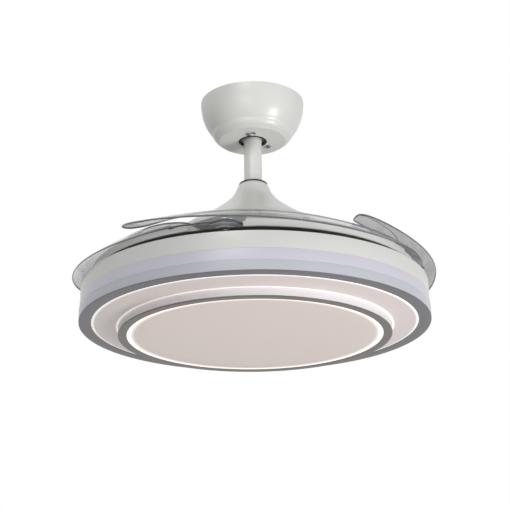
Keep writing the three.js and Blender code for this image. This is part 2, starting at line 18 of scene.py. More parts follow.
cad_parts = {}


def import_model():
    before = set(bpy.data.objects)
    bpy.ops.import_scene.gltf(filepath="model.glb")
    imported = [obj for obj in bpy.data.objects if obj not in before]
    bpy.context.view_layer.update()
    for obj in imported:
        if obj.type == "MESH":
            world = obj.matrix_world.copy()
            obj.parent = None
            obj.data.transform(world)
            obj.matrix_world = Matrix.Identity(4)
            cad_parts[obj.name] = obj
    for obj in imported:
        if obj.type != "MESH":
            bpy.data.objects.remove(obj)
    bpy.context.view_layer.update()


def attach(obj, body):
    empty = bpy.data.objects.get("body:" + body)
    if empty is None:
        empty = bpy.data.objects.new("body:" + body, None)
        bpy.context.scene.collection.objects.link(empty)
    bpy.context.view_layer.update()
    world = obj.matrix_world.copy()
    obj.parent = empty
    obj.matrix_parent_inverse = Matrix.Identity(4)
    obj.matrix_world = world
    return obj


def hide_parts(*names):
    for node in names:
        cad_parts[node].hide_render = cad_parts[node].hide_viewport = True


LOG = logging.getLogger("ceiling_fan")
MM = 0.001
DROP = 353.0
FULL_TURN = 2.0 * math.pi
TINY = 1e-6  # a length that counts as none, in millimetres
CREASE = 32.0  # the angle in degrees above which an edge stays sharp
WHITE = (1.0, 1.0, 1.0, 1.0)
FIRST, SECOND, MIXED = 6, 7, 2  # a Mix node's two colour inputs, and its colour output
PIVOT_RADIUS = 220.0  # how far each blade's pivot stands from the fan's axis
ROOT_RADIUS = 26.0  # the round plate at a blade's root
Profile = Sequence[tuple[float, ...]]


class Grain(Enum):
    """How a surface's fine marks run: the stretch of the noise along X, Y and Z."""

    EVEN = (1.0, 1.0, 1.0)
    BRUSHED = (0.05, 1.0, 1.0)
    LAYERED = (0.02, 0.02, 1.0)
    TURNED = (1.0, 0.0, 1.0)  # read on radius and height, so the marks run round the axis


# ---- Nodes ------------------------------------------------------------------------------------
def linear(colour: str) -> tuple[float, float, float, float]:
    """Turns an sRGB hex colour to linear light.

    Args:
        colour: Six hex digits after a hash.

    Returns:
        Linear red, green, blue and an alpha of 1.
    """
    parts = [int(colour[i : i + 2], 16) / 255.0 for i in (1, 3, 5)]
    red, green, blue = (p / 12.92 if p <= 0.04045 else ((p + 0.055) / 1.055) ** 2.4 for p in parts)
    return red, green, blue, 1.0


def add_node(tree: bpy.types.NodeTree, kind: str, inputs: dict | None = None, **settings) -> bpy.types.Node:
    """Adds a node with its settings, values and links.

    Args:
        tree: The shader or geometry tree.
        kind: The node's type.
        inputs: A value or an output socket for each named or numbered input.
        **settings: The node's own properties.

    Returns:
        The new node.
    """
    made = tree.nodes.new(kind)
    for name, value in settings.items():
        setattr(made, name, value)
    for key, value in (inputs or {}).items():
        if isinstance(value, bpy.types.NodeSocket):
            tree.links.new(value, made.inputs[key])
        else:
            made.inputs[key].default_value = value
    return made


def blank_material(name: str) -> bpy.types.Material:
    """Makes a material with an empty node tree.

    Args:
        name: The material's name.

    Returns:
        The material.
    """
    material = bpy.data.materials.new(name)
    material.use_nodes = True
    material.node_tree.nodes.clear()
    return material


def radius_and_height(tree: bpy.types.NodeTree) -> tuple[bpy.types.NodeSocket, bpy.types.NodeSocket]:
    """Reads how far a point is from the fan's axis.

    Args:
        tree: The shader tree.

    Returns:
        The distance from the axis in metres, and a vector of that distance, 0 and the height.
    """
    place = add_node(tree, "ShaderNodeTexCoord").outputs["Object"]
    split = add_node(tree, "ShaderNodeSeparateXYZ", {0: place})
    flat = add_node(tree, "ShaderNodeCombineXYZ", {0: split.outputs[0], 1: split.outputs[1]})
    length = add_node(tree, "ShaderNodeVectorMath", {0: flat.outputs[0]}, operation="LENGTH")
    radius = length.outputs["Value"]
    both = add_node(tree, "ShaderNodeCombineXYZ", {0: radius, 2: split.outputs[2]})
    return radius, both.outputs[0]


# ---- Finishes ---------------------------------------------------------------------------------
@dataclass(frozen=True)
class Finish:
    """A solid surface: its colour with slow patches, its gloss and its fine relief."""

    name: str
    colour: str
    shade: str  # the colour of the slow patches
    patch_mm: float
    roughness: float
    roughness_swing: float
    grain_mm: float
    relief_mm: float
    grain: Grain = Grain.EVEN
    metallic: float = 0.0
    ior: float = 1.5
    coat: float = 0.0

    def build(self) -> bpy.types.Material:
        """Makes the node material.

        Returns:
            The material.
        """
        material = blank_material(self.name)
        tree = material.node_tree
        if self.grain is Grain.TURNED:
            place = radius_and_height(tree)[1]
        else:
            place = add_node(tree, "ShaderNodeTexCoord").outputs["Object"]
        run = add_node(tree, "ShaderNodeMapping", {0: place, "Scale": self.grain.value})
        fine = {"Vector": run.outputs[0], "Scale": 1.0 / (self.grain_mm * MM), "Detail": 2.0}
        marks = add_node(tree, "ShaderNodeTexNoise", fine).outputs[0]
        slow = {"Vector": place, "Scale": 1.0 / (self.patch_mm * MM), "Detail": 3.0}
        patches = add_node(tree, "ShaderNodeTexNoise", slow).outputs[0]
        colours = {0: patches, FIRST: linear(self.colour), SECOND: linear(self.shade)}
        swing = self.roughness_swing
        gloss = {0: marks, "To Min": self.roughness - swing, "To Max": self.roughness + swing}
        relief = {"Height": marks, "Distance": self.relief_mm * MM, "Strength": 1.0}
        inputs = {
            "Base Color": add_node(tree, "ShaderNodeMix", colours, data_type="RGBA").outputs[MIXED],
            "Roughness": add_node(tree, "ShaderNodeMapRange", gloss).outputs[0],
            "Normal": add_node(tree, "ShaderNodeBump", relief).outputs[0],
            "Metallic": self.metallic,
            "Coat Weight": self.coat,
        }
        if not self.metallic:
            inputs["IOR"] = self.ior
        shader = add_node(tree, "ShaderNodeBsdfPrincipled", inputs)
        add_node(tree, "ShaderNodeOutputMaterial", {"Surface": shader.outputs[0]})
        return material


@dataclass(frozen=True)
class Diffuser:
    """A moulded opal acrylic cover that glows along some of its edges, where its colour is painted lighter
    too, as painted light.
    """

    name: str
    colour: str
    shade: str
    painted_glow_colour: str
    edges_mm: tuple[tuple[float, float], ...]  # radius of each bright edge, and how far it fades
    glow: float
    edge_glow: float
    patch_mm: float = 150.0
    roughness: float = 0.32
    ior: float = 1.49

    def build(self) -> bpy.types.Material:
        """Makes the node material.

        Returns:
            The material.
        """
        material = blank_material(self.name)
        tree = material.node_tree
        radius, place = radius_and_height(tree)
        edge: bpy.types.NodeSocket | float = 0.0
        for ring_mm, fade_mm in self.edges_mm:
            away = add_node(tree, "ShaderNodeMath", {0: radius, 1: ring_mm * MM}, operation="SUBTRACT")
            apart = add_node(tree, "ShaderNodeMath", {0: away.outputs[0]}, operation="ABSOLUTE")
            fade = {0: apart.outputs[0], "From Max": fade_mm * MM, "To Min": 1.0, "To Max": 0.0}
            near = add_node(tree, "ShaderNodeMapRange", fade, interpolation_type="SMOOTHERSTEP")
            most = add_node(tree, "ShaderNodeMath", {0: near.outputs[0], 1: edge}, operation="MAXIMUM")
            edge = most.outputs[0]
        slow = {"Vector": place, "Scale": 1.0 / (self.patch_mm * MM), "Detail": 2.0}
        patches = add_node(tree, "ShaderNodeTexNoise", slow).outputs[0]
        colours = {0: patches, FIRST: linear(self.colour), SECOND: linear(self.shade)}
        body = add_node(tree, "ShaderNodeMix", colours, data_type="RGBA").outputs[MIXED]
        # Towards the bright edges the colour turns to a lighter one: painted light.
        colours = {0: edge, FIRST: body, SECOND: linear(self.painted_glow_colour)}
        lit = add_node(tree, "ShaderNodeMix", colours, data_type="RGBA").outputs[MIXED]
        glow = add_node(tree, "ShaderNodeMapRange", {0: edge, "To Min": self.glow, "To Max": self.edge_glow})
        inputs = {
            "Base Color": lit,
            "Roughness": self.roughness,
            "IOR": self.ior,
            "Emission Color": lit,
            "Emission Strength": glow.outputs[0],
        }
        shader = add_node(tree, "ShaderNodeBsdfPrincipled", inputs)
        add_node(tree, "ShaderNodeOutputMaterial", {"Surface": shader.outputs[0]})
        return material


@dataclass(frozen=True)
class ClearSheet:
    """Clear injection-moulded plastic with a smoke tint, seen as a thin sheet that doesn't bend light."""

    name: str
    tint: str
    shade: str
    cover: float  # the share of what is behind it that each face of the sheet hides
    roughness: float
    gloss: float = 0.5
    gloss_roughness: float = 0.08
    ior: float = 1.585
    ripple_mm: float = 90.0
    relief_mm: float = 0.03

    def build(self) -> bpy.types.Material:
        """Makes the node material.

        Returns:
            The material.
        """
        material = blank_material(self.name)
        tree = material.node_tree
        place = add_node(tree, "ShaderNodeTexCoord").outputs["Object"]
        slow = {"Vector": place, "Scale": 1.0 / (self.ripple_mm * MM), "Detail": 1.0}
        ripple = add_node(tree, "ShaderNodeTexNoise", slow).outputs[0]
        colours = {0: ripple, FIRST: linear(self.tint), SECOND: linear(self.shade)}
        relief = {"Height": ripple, "Distance": self.relief_mm * MM, "Strength": 1.0}
        inputs = {
            "Base Color": add_node(tree, "ShaderNodeMix", colours, data_type="RGBA").outputs[MIXED],
            "Roughness": self.roughness,
            "IOR": self.ior,
            "Alpha": self.cover,
            "Coat Weight": self.gloss,
            "Coat Roughness": self.gloss_roughness,
            "Normal": add_node(tree, "ShaderNodeBump", relief).outputs[0],
        }
        shader = add_node(tree, "ShaderNodeBsdfPrincipled", inputs)
        add_node(tree, "ShaderNodeOutputMaterial", {"Surface": shader.outputs[0]})
        return material


# Polyester powder coat on steel: satin, warm white, with the soft dimples of orange peel. Real
# dimples are about 1 mm across. These are 4 mm, which is as fine as the picture shows.
POWDER_COAT = Finish("warm_white_powder_coat", "#E9E9E5", "#E5E5E1", 60, 0.36, 0.04, 4.0, 0.012, coat=0.15)
# Baked enamel on the lamp's band: the same white a shade greyer, and smoother.
BAKED_ENAMEL = Finish("white_baked_enamel", "#DADAD7", "#D6D6D3", 90, 0.32, 0.04, 5.0, 0.008, coat=0.15)
# Moulded white ABS: a little glossier and cooler than the powder coat, with faint flow patches.
MOULDED_ABS = Finish("moulded_white_abs", "#E6E6E4", "#E2E2DF", 80, 0.34, 0.05, 6.0, 0.010, ior=1.53)
# Bright zinc plate on pressed steel: silver with a grainy, slightly bluish mottle.
ZINC_PLATE = Finish(
    "bright_zinc_plate", "#C6C8CC", "#B4B8BE", 12, 0.34, 0.08, 1.5, 0.010, metallic=1.0, grain=Grain.BRUSHED
)
# The same plate, darker, on the canopy's screws.
DARKER_ZINC = Finish("dull_zinc_plate", "#8C8D90", "#7C7D80", 6, 0.42, 0.08, 1.0, 0.010, metallic=1.0)
# Ground and turned steel: fine marks round the axis.
GROUND_STEEL = Finish(
    "ground_steel", "#C9CACD", "#BFC1C5", 20, 0.24, 0.05, 0.8, 0.006, metallic=1.0, grain=Grain.TURNED
)
# Spring wire, oil-tempered: darker than plate, slightly dull.
SPRING_WIRE = Finish("tempered_spring_wire", "#9A9CA0", "#86888D", 8, 0.36, 0.06, 0.8, 0.006, metallic=1.0)
# Moulded nylon of the hanger ball: near black, with a dull moulded sheen.
NYLON = Finish("black_moulded_nylon", "#1E1E20", "#252527", 18, 0.46, 0.06, 1.5, 0.015)
# Glass-filled nylon of the blade bushes: light grey with darker fibre specks.
FILLED_NYLON = Finish("glass_filled_nylon", "#C6C8C9", "#AEB0B1", 3, 0.42, 0.08, 1.2, 0.02)
# Soft black EPDM seal: matt, slightly dusty.
EPDM = Finish("black_epdm_rubber", "#1B1B1C", "#262627", 9, 0.72, 0.08, 1.2, 0.02)
# Grey film that closes the tray underneath: matt and even, a sheet of painted shade that stands for the dark
# in the tray's shade.
PAINTED_SHADE_FILM = Finish("dark_grey_film", "#8E8E8F", "#888889", 60, 0.7, 0.05, 3.0, 0.01)
# Matt black, as painted shade: on the lamp's base plate and on the lining under the tray it stands for the
# shade in the gap between the lamp and the tray.
PAINTED_SHADE_BLACK = Finish("matt_black_enamel", "#222223", "#2A2A2B", 30, 0.7, 0.06, 2.0, 0.015)
# PVC jacket of the internal lead.
PVC = Finish("grey_pvc_jacket", "#3A3B3D", "#434446", 15, 0.5, 0.05, 2.0, 0.01)
# Electrical steel laminations, varnished: fine layers across the stack.
LAMINATIONS = Finish(
    "varnished_laminations", "#6B6D70", "#56585C", 6, 0.42, 0.08, 0.6, 0.05, metallic=1.0, grain=Grain.LAYERED
)
# Cast aluminium of the lower motor shell, raw: dull grey with a sandy skin.
CAST_ALUMINIUM = Finish("cast_aluminium", "#8E9093", "#7F8184", 14, 0.5, 0.08, 2.0, 0.03, metallic=1.0)
# Enamelled copper wire, wound: orange brown, glossy varnish over fine turns.
COPPER_WIRE = Finish("enamelled_copper_wire", "#B0683A", "#9A5730", 5, 0.32, 0.06, 0.9, 0.09, metallic=1.0)
# Sintered ferrite magnets: near black and slightly gritty.
FERRITE = Finish("sintered_ferrite", "#3B3B3D", "#303032", 10, 0.6, 0.08, 1.2, 0.02)
# Fibreglass board under white solder mask.
SOLDER_MASK = Finish("white_solder_mask", "#E8EAE6", "#DFE2DC", 25, 0.38, 0.05, 2.0, 0.006)
# White reflector paint on pressed aluminium.
REFLECTOR_PAINT = Finish("white_reflector_paint", "#EDEDEA", "#E6E6E2", 40, 0.5, 0.05, 3.0, 0.01)
# Phosphor over the lamp's chips: dull yellow, with a fine mottle.
PHOSPHOR = Finish("yellow_phosphor", "#E4C95A", "#D9BB46", 2, 0.5, 0.05, 1.0, 0.01)
# Moulded ABS boxes of the receiver, terminal block and driver: matt, spark-eroded texture.
BOX_ABS = Finish("spark_textured_abs", "#E2E2DE", "#DADAD5", 20, 0.55, 0.06, 1.2, 0.03)
# Satin anodised aluminium trim rings, cool grey outside and warm grey inside, turned on a lathe.
GREY_ANODISED = Finish(
    "grey_anodised_trim", "#6E6D71", "#747377", 70, 0.4, 0.05, 1.5, 0.006, metallic=0.35, grain=Grain.TURNED
)
TAUPE_ANODISED = Finish(
    "taupe_anodised_trim", "#716B66", "#78726D", 70, 0.4, 0.05, 1.5, 0.006, metallic=0.35, grain=Grain.TURNED
)
# Satin acrylic side bands: lavender above, pale blue below, and milky white on the drum.
LAVENDER_ACRYLIC = Finish("lavender_acrylic", "#D3D1DC", "#D1CEDB", 120, 0.3, 0.03, 8.0, 0.004, ior=1.49)
BLUE_ACRYLIC = Finish("pale_blue_acrylic", "#C2C6CD", "#C0C3CB", 120, 0.3, 0.03, 8.0, 0.004, ior=1.49)
MILKY_ACRYLIC = Finish("milky_acrylic", "#EBE7E8", "#E7E4E6", 120, 0.3, 0.03, 8.0, 0.004, ior=1.49)
# The lit covers: moulded opal acrylic, brightest at the edges that stand next to the chips, where the colour
# is painted lighter as painted light besides the glow.
RECESS_ACRYLIC = Diffuser(
    "recess_opal_acrylic", "#DBD0CE", "#D8CDC9", "#F8F4F0", ((233.4, 6.0), (196.2, 4.5)), 0.06, 0.45
)
OPAL_ACRYLIC = Diffuser("warm_opal_acrylic", "#E2D4CE", "#DDCFC8", "#FBF5F1", ((183.4, 14.0),), 0.07, 0.7)
# Injection-moulded polycarbonate of the blades: a clear light smoke sheet.
POLYCARBONATE = ClearSheet("clear_smoke_polycarbonate", "#A0A2A4", "#9C9EA0", 0.45, 0.2)
# The same plastic where it is thick, at the blade's root: milky, with little showing through.
POLYCARBONATE_BOSS = ClearSheet("milky_smoke_polycarbonate", "#E6E8EA", "#D6D8DA", 0.85, 0.28)
# The same plastic at the blade's edges and fold, where the long way through it looks dark.
POLYCARBONATE_EDGE = Finish("polycarbonate_edge", "#626467", "#56585B", 30, 0.25, 0.04, 4.0, 0.004, ior=1.585)


class Finishes:
    """Builds each finish once and keeps its material."""

    def __init__(self) -> None:
        """Starts with no material built."""
        self._made: dict[str, bpy.types.Material] = {}

    def of(self, finish: Finish | Diffuser | ClearSheet) -> bpy.types.Material:
        """Gives a finish's material, which it builds the first time.

        Args:
            finish: The finish.

        Returns:
            The material.
        """
        if finish.name not in self._made:
            self._made[finish.name] = finish.build()
        return self._made[finish.name]


# ---- Meshes -----------------------------------------------------------------------------------
def polar(radius: float, angle: float) -> tuple[float, float]:
    """Gives the point at a radius and an angle in degrees from +X."""
    return radius * math.cos(math.radians(angle)), radius * math.sin(math.radians(angle))


def filleted(corners: Profile, steps: int = 4) -> list[tuple[float, float]]:
    """Rounds a closed profile's corners.

    Args:
        corners: Radius, height and, where the corner is rounded, its fillet radius.
        steps: Segments in each arc.

    Returns:
        The closed profile as radius and height.
    """
    made: list[tuple[float, float]] = []
    for i, corner in enumerate(corners):
        here = Vector(corner[:2])
        fillet = corner[2] if len(corner) > 2 else 0.0
        back = Vector(corners[i - 1][:2]) - here
        ahead = Vector(corners[(i + 1) % len(corners)][:2]) - here
        if not fillet or back.length < TINY or ahead.length < TINY:
            made.append((here.x, here.y))
            continue
        half = back.angle(ahead) / 2.0
        reach = min(fillet / math.tan(half), 0.45 * back.length, 0.45 * ahead.length)
        start, end = here + back.normalized() * reach, here + ahead.normalized() * reach
        bisector = (back.normalized() + ahead.normalized()).normalized()
        centre = here + bisector * (reach / math.cos(half))
        for k in range(steps + 1):
            spoke = (start - centre).lerp(end - centre, k / steps)
            point = centre + spoke.normalized() * (start - centre).length
            made.append((point.x, point.y))
    return made


def square_ring(inner: float, outer: float, low: float, high: float, *rounds: float) -> Profile:
    """Draws the section of a ring, or of a disc where the inner radius is 0, with square sides.

    Args:
        inner: The inner radius.
        outer: The outer radius.
        low: The height of the underside.
        high: The height of the top.
        *rounds: The four corners' fillets, from the lower inner one outwards and up, or none.

    Returns:
        The closed profile.
    """
    corners = ((inner, low), (outer, low), (outer, high), (inner, high))
    return [(*corner, fillet) for corner, fillet in zip(corners, rounds or (0.0,) * len(corners))]


def smooth_line(points: Sequence[Sequence[float]], steps: int) -> list[Vector]:
    """Draws a centripetal curve through points, as the part's source does.

    Args:
        points: Two or three numbers each.
        steps: Segments between neighbours.

    Returns:
        The points of the curve.
    """
    knots = [Vector((*p, 0.0)) if len(p) == 2 else Vector(p) for p in points]
    knots = [2 * knots[0] - knots[1], *knots, 2 * knots[-1] - knots[-2]]
    line = []
    for i in range(1, len(knots) - 2):
        p0, p1, p2, p3 = knots[i - 1 : i + 3]
        d0, d1, d2 = ((b - a).length ** 0.5 for a, b in ((p0, p1), (p1, p2), (p2, p3)))
        leave = ((p1 - p0) / d0 - (p2 - p0) / (d0 + d1) + (p2 - p1) / d1) * d1
        arrive = ((p2 - p1) / d1 - (p3 - p1) / (d1 + d2) + (p3 - p2) / d2) * d1
        for k in range(steps + (i == len(knots) - 3)):
            t = k / steps
            square, cube = t * t, t**3
            line.append(
                p1 * (2 * cube - 3 * square + 1)
                + leave * (cube - 2 * square + t)
                + p2 * (3 * square - 2 * cube)
                + arrive * (cube - square)
            )
    return line


def walled(outline: Sequence[Vector], wall: float) -> list[tuple[float, float]]:
    """Turns an outline into a closed profile with a wall square to it, on its inner side.

    Args:
        outline: Radius and height of each point, from the rim or neck onwards.
        wall: The wall's thickness.

    Returns:
        The closed profile.
    """
    inner = []
    for i, point in enumerate(outline):
        run = (outline[min(i + 1, len(outline) - 1)] - outline[max(i - 1, 0)]).normalized()
        inner.append((point.x + run.y * wall, point.y - run.x * wall))
    return [(p.x, p.y) for p in outline] + inner[::-1]


def in_metres(points: Sequence[Sequence[float]]) -> list[tuple[float, float, float]]:
    """Takes points from millimetres above the trim ring's face to metres below the ceiling."""
    return [(x * MM, y * MM, (z - DROP) * MM) for x, y, z in points]


def shown(name: str, mesh: bpy.types.Mesh, crease: float = CREASE) -> bpy.types.Object:
    """Puts a mesh in the scene, smooth but for its sharp edges.

    Args:
        name: The object's name.
        mesh: The mesh.
        crease: The angle in degrees above which an edge stays sharp.

    Returns:
        The object.
    """
    mesh.shade_smooth()
    mesh.set_sharp_from_angle(angle=math.radians(crease))
    made = bpy.data.objects.new(name, mesh)
    bpy.context.scene.collection.objects.link(made)
    return made


def solid(name: str, points: Sequence[Sequence[float]], faces: Sequence[Sequence[int]]) -> bpy.types.Object:
    """Makes a mesh object from points in millimetres.

    Args:
        name: The object's name.
        points: The corners, with heights above the trim ring's face.
        faces: The faces, as indices of points.

    Returns:
        The object.
    """
    mesh = bpy.data.meshes.new(name)
    mesh.from_pydata(in_metres(points), [], faces)
    return shown(name, mesh)


def lathe(
    name: str, profile: Profile, sides: int = 160, centre: tuple[float, float] = (0, 0)
) -> bpy.types.Object:
    """Turns a closed profile about a vertical axis into a closed solid.

    Args:
        name: The object's name.
        profile: Radius and height of each point, with a fillet where a corner is rounded.
        sides: Faces round the axis.
        centre: The axis.

    Returns:
        The object.
    """
    loop = filleted(profile)
    area = sum(a[0] * b[1] - b[0] * a[1] for a, b in zip(loop, loop[1:] + loop[:1]))
    if area < 0:
        loop.reverse()
    points, rings = [], []
    for radius, height in loop:
        count = sides if radius > TINY else 1
        rings.append([len(points) + k % count for k in range(sides)])
        for k in range(count):
            angle = FULL_TURN * k / sides
            x, y = centre[0] + radius * math.cos(angle), centre[1] + radius * math.sin(angle)
            points.append((x, y, height))
    faces = []
    for ring, above in zip(rings, rings[1:] + rings[:1]):
        for k in range(sides):
            ahead = (k + 1) % sides
            corners = dict.fromkeys((ring[k], ring[ahead], above[ahead], above[k]))
            if len(corners) > 2:
                faces.append(tuple(corners))
    return solid(name, points, faces)


def box(name: str, low: Sequence[float], high: Sequence[float]) -> bpy.types.Object:
    """Makes a box between two corners, to be bevelled or to cut with.

    Args:
        name: The object's name.
        low: The lowest corner.
        high: The highest corner.

    Returns:
        The object.
    """
    points = [(x, y, z) for x in (low[0], high[0]) for y in (low[1], high[1]) for z in (low[2], high[2])]
    faces = [(0, 1, 3, 2), (4, 6, 7, 5), (0, 4, 5, 1), (2, 3, 7, 6), (0, 2, 6, 4), (1, 5, 7, 3)]
    return solid(name, points, faces)


def baked(source: bpy.types.Object, crease: float = CREASE) -> bpy.types.Object:
    """Turns an object with its modifiers into a plain mesh object of the same name.

    Args:
        source: The object, which is removed.
        crease: The angle in degrees above which an edge stays sharp.

    Returns:
        The plain object.
    """
    graph = bpy.context.evaluated_depsgraph_get()
    built = source.evaluated_get(graph)
    mesh = bpy.data.meshes.new_from_object(built, preserve_all_data_layers=True, depsgraph=graph)
    name = source.name
    bpy.data.objects.remove(source)
    return shown(name, mesh, crease)


def carved(
    body: bpy.types.Object, tools: Sequence[bpy.types.Object], operation: str = "DIFFERENCE"
) -> bpy.types.Object:
    """Cuts tools out of a body, or joins them to it, and removes them.

    Args:
        body: The object to change.
        tools: The cutters.
        operation: The boolean's kind.

    Returns:
        The changed object.
    """
    for tool in tools:
        modifier = body.modifiers.new("carve", "BOOLEAN")
        modifier.operation = operation
        modifier.solver = "EXACT"
        modifier.object = tool
    made = baked(body)
    for tool in tools:
        bpy.data.objects.remove(tool)
    return made


def bevelled(body: bpy.types.Object, width: float, angle: float = 40.0) -> bpy.types.Object:
    """Rounds an object's sharp edges.

    Args:
        body: The object.
        width: The bevel's width in millimetres.
        angle: The least angle in degrees that is rounded.

    Returns:
        The rounded object.
    """
    modifier = body.modifiers.new("edges", "BEVEL")
    modifier.width = width * MM
    modifier.segments = 2
    modifier.limit_method = "ANGLE"
    modifier.angle_limit = math.radians(angle)
    modifier.harden_normals = False
    return baked(body)


def refined(node: str, width: float) -> bpy.types.Object:
    """Copies a CAD node's mesh, welds it and rounds its edges.

    Args:
        node: The CAD node's name.
        width: The bevel's width in millimetres.

    Returns:
        The new object, which is to stand for the node.
    """
    source = bpy.data.objects[node].data.copy()
    welded = bmesh.new()
    welded.from_mesh(source)
    bmesh.ops.remove_doubles(welded, verts=welded.verts, dist=1e-6)
    bmesh.ops.dissolve_limit(welded, angle_limit=math.radians(1), verts=welded.verts, edges=welded.edges)
    welded.to_mesh(source)
    welded.free()
    source.materials.clear()
    return bevelled(shown(f"{node}_finished", source), width)


class NodeGroup:
    """A Geometry Nodes tree that runs once on a carrier object and leaves a plain mesh."""

    def __init__(self, kind: str, values: dict[str, tuple[str, object]]) -> None:
        """Makes the tree with a socket for each value.

        Args:
            kind: The tree's name.
            values: The socket's type and the value of each input.
        """
        self.kind = kind
        self.values = values
        self.tree = bpy.data.node_groups.new(kind, "GeometryNodeTree")
        face = self.tree.interface
        face.new_socket("Geometry", in_out="OUTPUT", socket_type="NodeSocketGeometry")
        self.sockets = {}
        for key, (socket, _) in values.items():
            self.sockets[key] = face.new_socket(key, in_out="INPUT", socket_type=socket)
        self.given = add_node(self.tree, "NodeGroupInput").outputs

    def run(
        self, shape: bpy.types.NodeSocket, carrier: bpy.types.Object, crease: float = CREASE
    ) -> bpy.types.Object:
        """Gives the tree's shape its material and turns it into a plain mesh.

        Args:
            shape: What the tree has made.
            carrier: The object that the tree runs on; it is removed.
            crease: The angle in degrees above which an edge stays sharp.

        Returns:
            The new object, with the carrier's name.
        """
        bpy.context.scene.collection.objects.link(carrier)
        real = add_node(self.tree, "GeometryNodeRealizeInstances", {0: shape})
        inputs = {"Geometry": real.outputs[0], "Material": self.given["Material"]}
        dressed = add_node(self.tree, "GeometryNodeSetMaterial", inputs)
        add_node(self.tree, "NodeGroupOutput", {0: dressed.outputs[0]})
        modifier = carrier.modifiers.new(self.kind, "NODES")
        modifier.node_group = self.tree
        for key, (_, value) in self.values.items():
            if value is not None:
                modifier[self.sockets[key].identifier] = value
        return baked(carrier, crease)


@dataclass
class RoundRow:
    """Copies of a small part that stand at equal steps all round the axis, made in Geometry Nodes."""

    count: int
    radius: float
    start: float = 0.0  # degrees from +X

    def stand(self, name: str, template: bpy.types.Object, material: bpy.types.Material) -> bpy.types.Object:
        """Stands the copies and turns them into one plain mesh.

        Args:
            name: The new object's name.
            template: The part, made at the origin's axis; it is removed.
            material: The copies' material.

        Returns:
            The new object.
        """
        group = NodeGroup(
            "round_row",
            {
                "Part": ("NodeSocketObject", template),
                "Material": ("NodeSocketMaterial", material),
                "Count": ("NodeSocketInt", self.count),
                "Radius": ("NodeSocketFloat", self.radius * MM),
                "Start": ("NodeSocketFloat", math.radians(self.start)),
                "Step": ("NodeSocketFloat", math.radians(360.0 / self.count)),
            },
        )
        tree, given = group.tree, group.given
        line = add_node(tree, "GeometryNodeMeshLine", {"Count": given["Count"]})
        index = add_node(tree, "GeometryNodeInputIndex").outputs[0]
        terms = {0: index, 1: given["Step"], 2: given["Start"]}
        angle = add_node(tree, "ShaderNodeMath", terms, operation="MULTIPLY_ADD").outputs[0]
        across = add_node(tree, "ShaderNodeMath", {0: angle}, operation="COSINE").outputs[0]
        along = add_node(tree, "ShaderNodeMath", {0: angle}, operation="SINE").outputs[0]
        unit = add_node(tree, "ShaderNodeCombineXYZ", {0: across, 1: along}).outputs[0]
        reach = {0: unit, "Scale": given["Radius"]}
        spot = add_node(tree, "ShaderNodeVectorMath", reach, operation="SCALE").outputs[0]
        points = add_node(tree, "GeometryNodeSetPosition", {"Geometry": line.outputs[0], "Position": spot})
        part = add_node(tree, "GeometryNodeObjectInfo", {"Object": given["Part"]})
        turn = add_node(tree, "ShaderNodeCombineXYZ", {2: angle}).outputs[0]
        copies = add_node(
            tree,
            "GeometryNodeInstanceOnPoints",
            {"Points": points.outputs[0], "Instance": part.outputs["Geometry"], "Rotation": turn},
        )
        made = group.run(copies.outputs[0], bpy.data.objects.new(name, bpy.data.meshes.new(name)))
        bpy.data.objects.remove(template)
        return made


@dataclass
class Sweep:
    """A round section that follows a curve, made in Geometry Nodes."""

    radius: float
    sides: int = 12
    crease: float = 60.0

    def follow(
        self, name: str, route: Sequence[Sequence[float]], material: bpy.types.Material
    ) -> bpy.types.Object:
        """Sweeps the section along a route and turns it into a plain mesh.

        Args:
            name: The new object's name.
            route: The route's points, with heights above the trim ring's face.
            material: The sweep's material.

        Returns:
            The new object.
        """
        mesh = bpy.data.meshes.new(name)
        mesh.from_pydata(in_metres(route), [(i, i + 1) for i in range(len(route) - 1)], [])
        group = NodeGroup(
            "sweep",
            {
                "Geometry": ("NodeSocketGeometry", None),
                "Radius": ("NodeSocketFloat", self.radius * MM),
                "Sides": ("NodeSocketInt", self.sides),
                "Material": ("NodeSocketMaterial", material),
            },
        )
        tree, given = group.tree, group.given
        path = add_node(tree, "GeometryNodeMeshToCurve", {0: given["Geometry"]})
        ring = {"Resolution": given["Sides"], "Radius": given["Radius"]}
        section = add_node(tree, "GeometryNodeCurvePrimitiveCircle", ring)
        tube = add_node(
            tree,
            "GeometryNodeCurveToMesh",
            {"Curve": path.outputs[0], "Profile Curve": section.outputs[0], "Fill Caps": True},
        )
        return group.run(tube.outputs[0], bpy.data.objects.new(name, mesh), self.crease)


def screw(name: str, head: float, height: float, base: float, down: bool) -> bpy.types.Object:
    """Makes a pan-head screw with a cross recess, on the axis.

    Args:
        name: The object's name.
        head: The head's radius.
        height: The head's height.
        base: The height of the face that the head sits on.
        down: True where the head hangs under that face.

    Returns:
        The object.
    """
    way = -1.0 if down else 1.0
    seat = base - way * 0.2
    crown = base + way * height
    rim = (head, crown - way * 0.6 * height, 0.4 * height)
    brow = (0.8 * head, crown, 0.3 * height)
    body = lathe(name, [(0, seat), (head, seat), rim, brow, (0, crown)], 20)
    arm, half, deep = 0.55 * head, 0.13 * head, crown - way * 0.45 * height
    ends = sorted((deep, crown + way))
    tools = [
        box("recess", (-arm, -half, ends[0]), (arm, half, ends[1])),
        box("recess", (-half, -arm, ends[0]), (half, arm, ends[1])),
    ]
    return carved(body, tools)


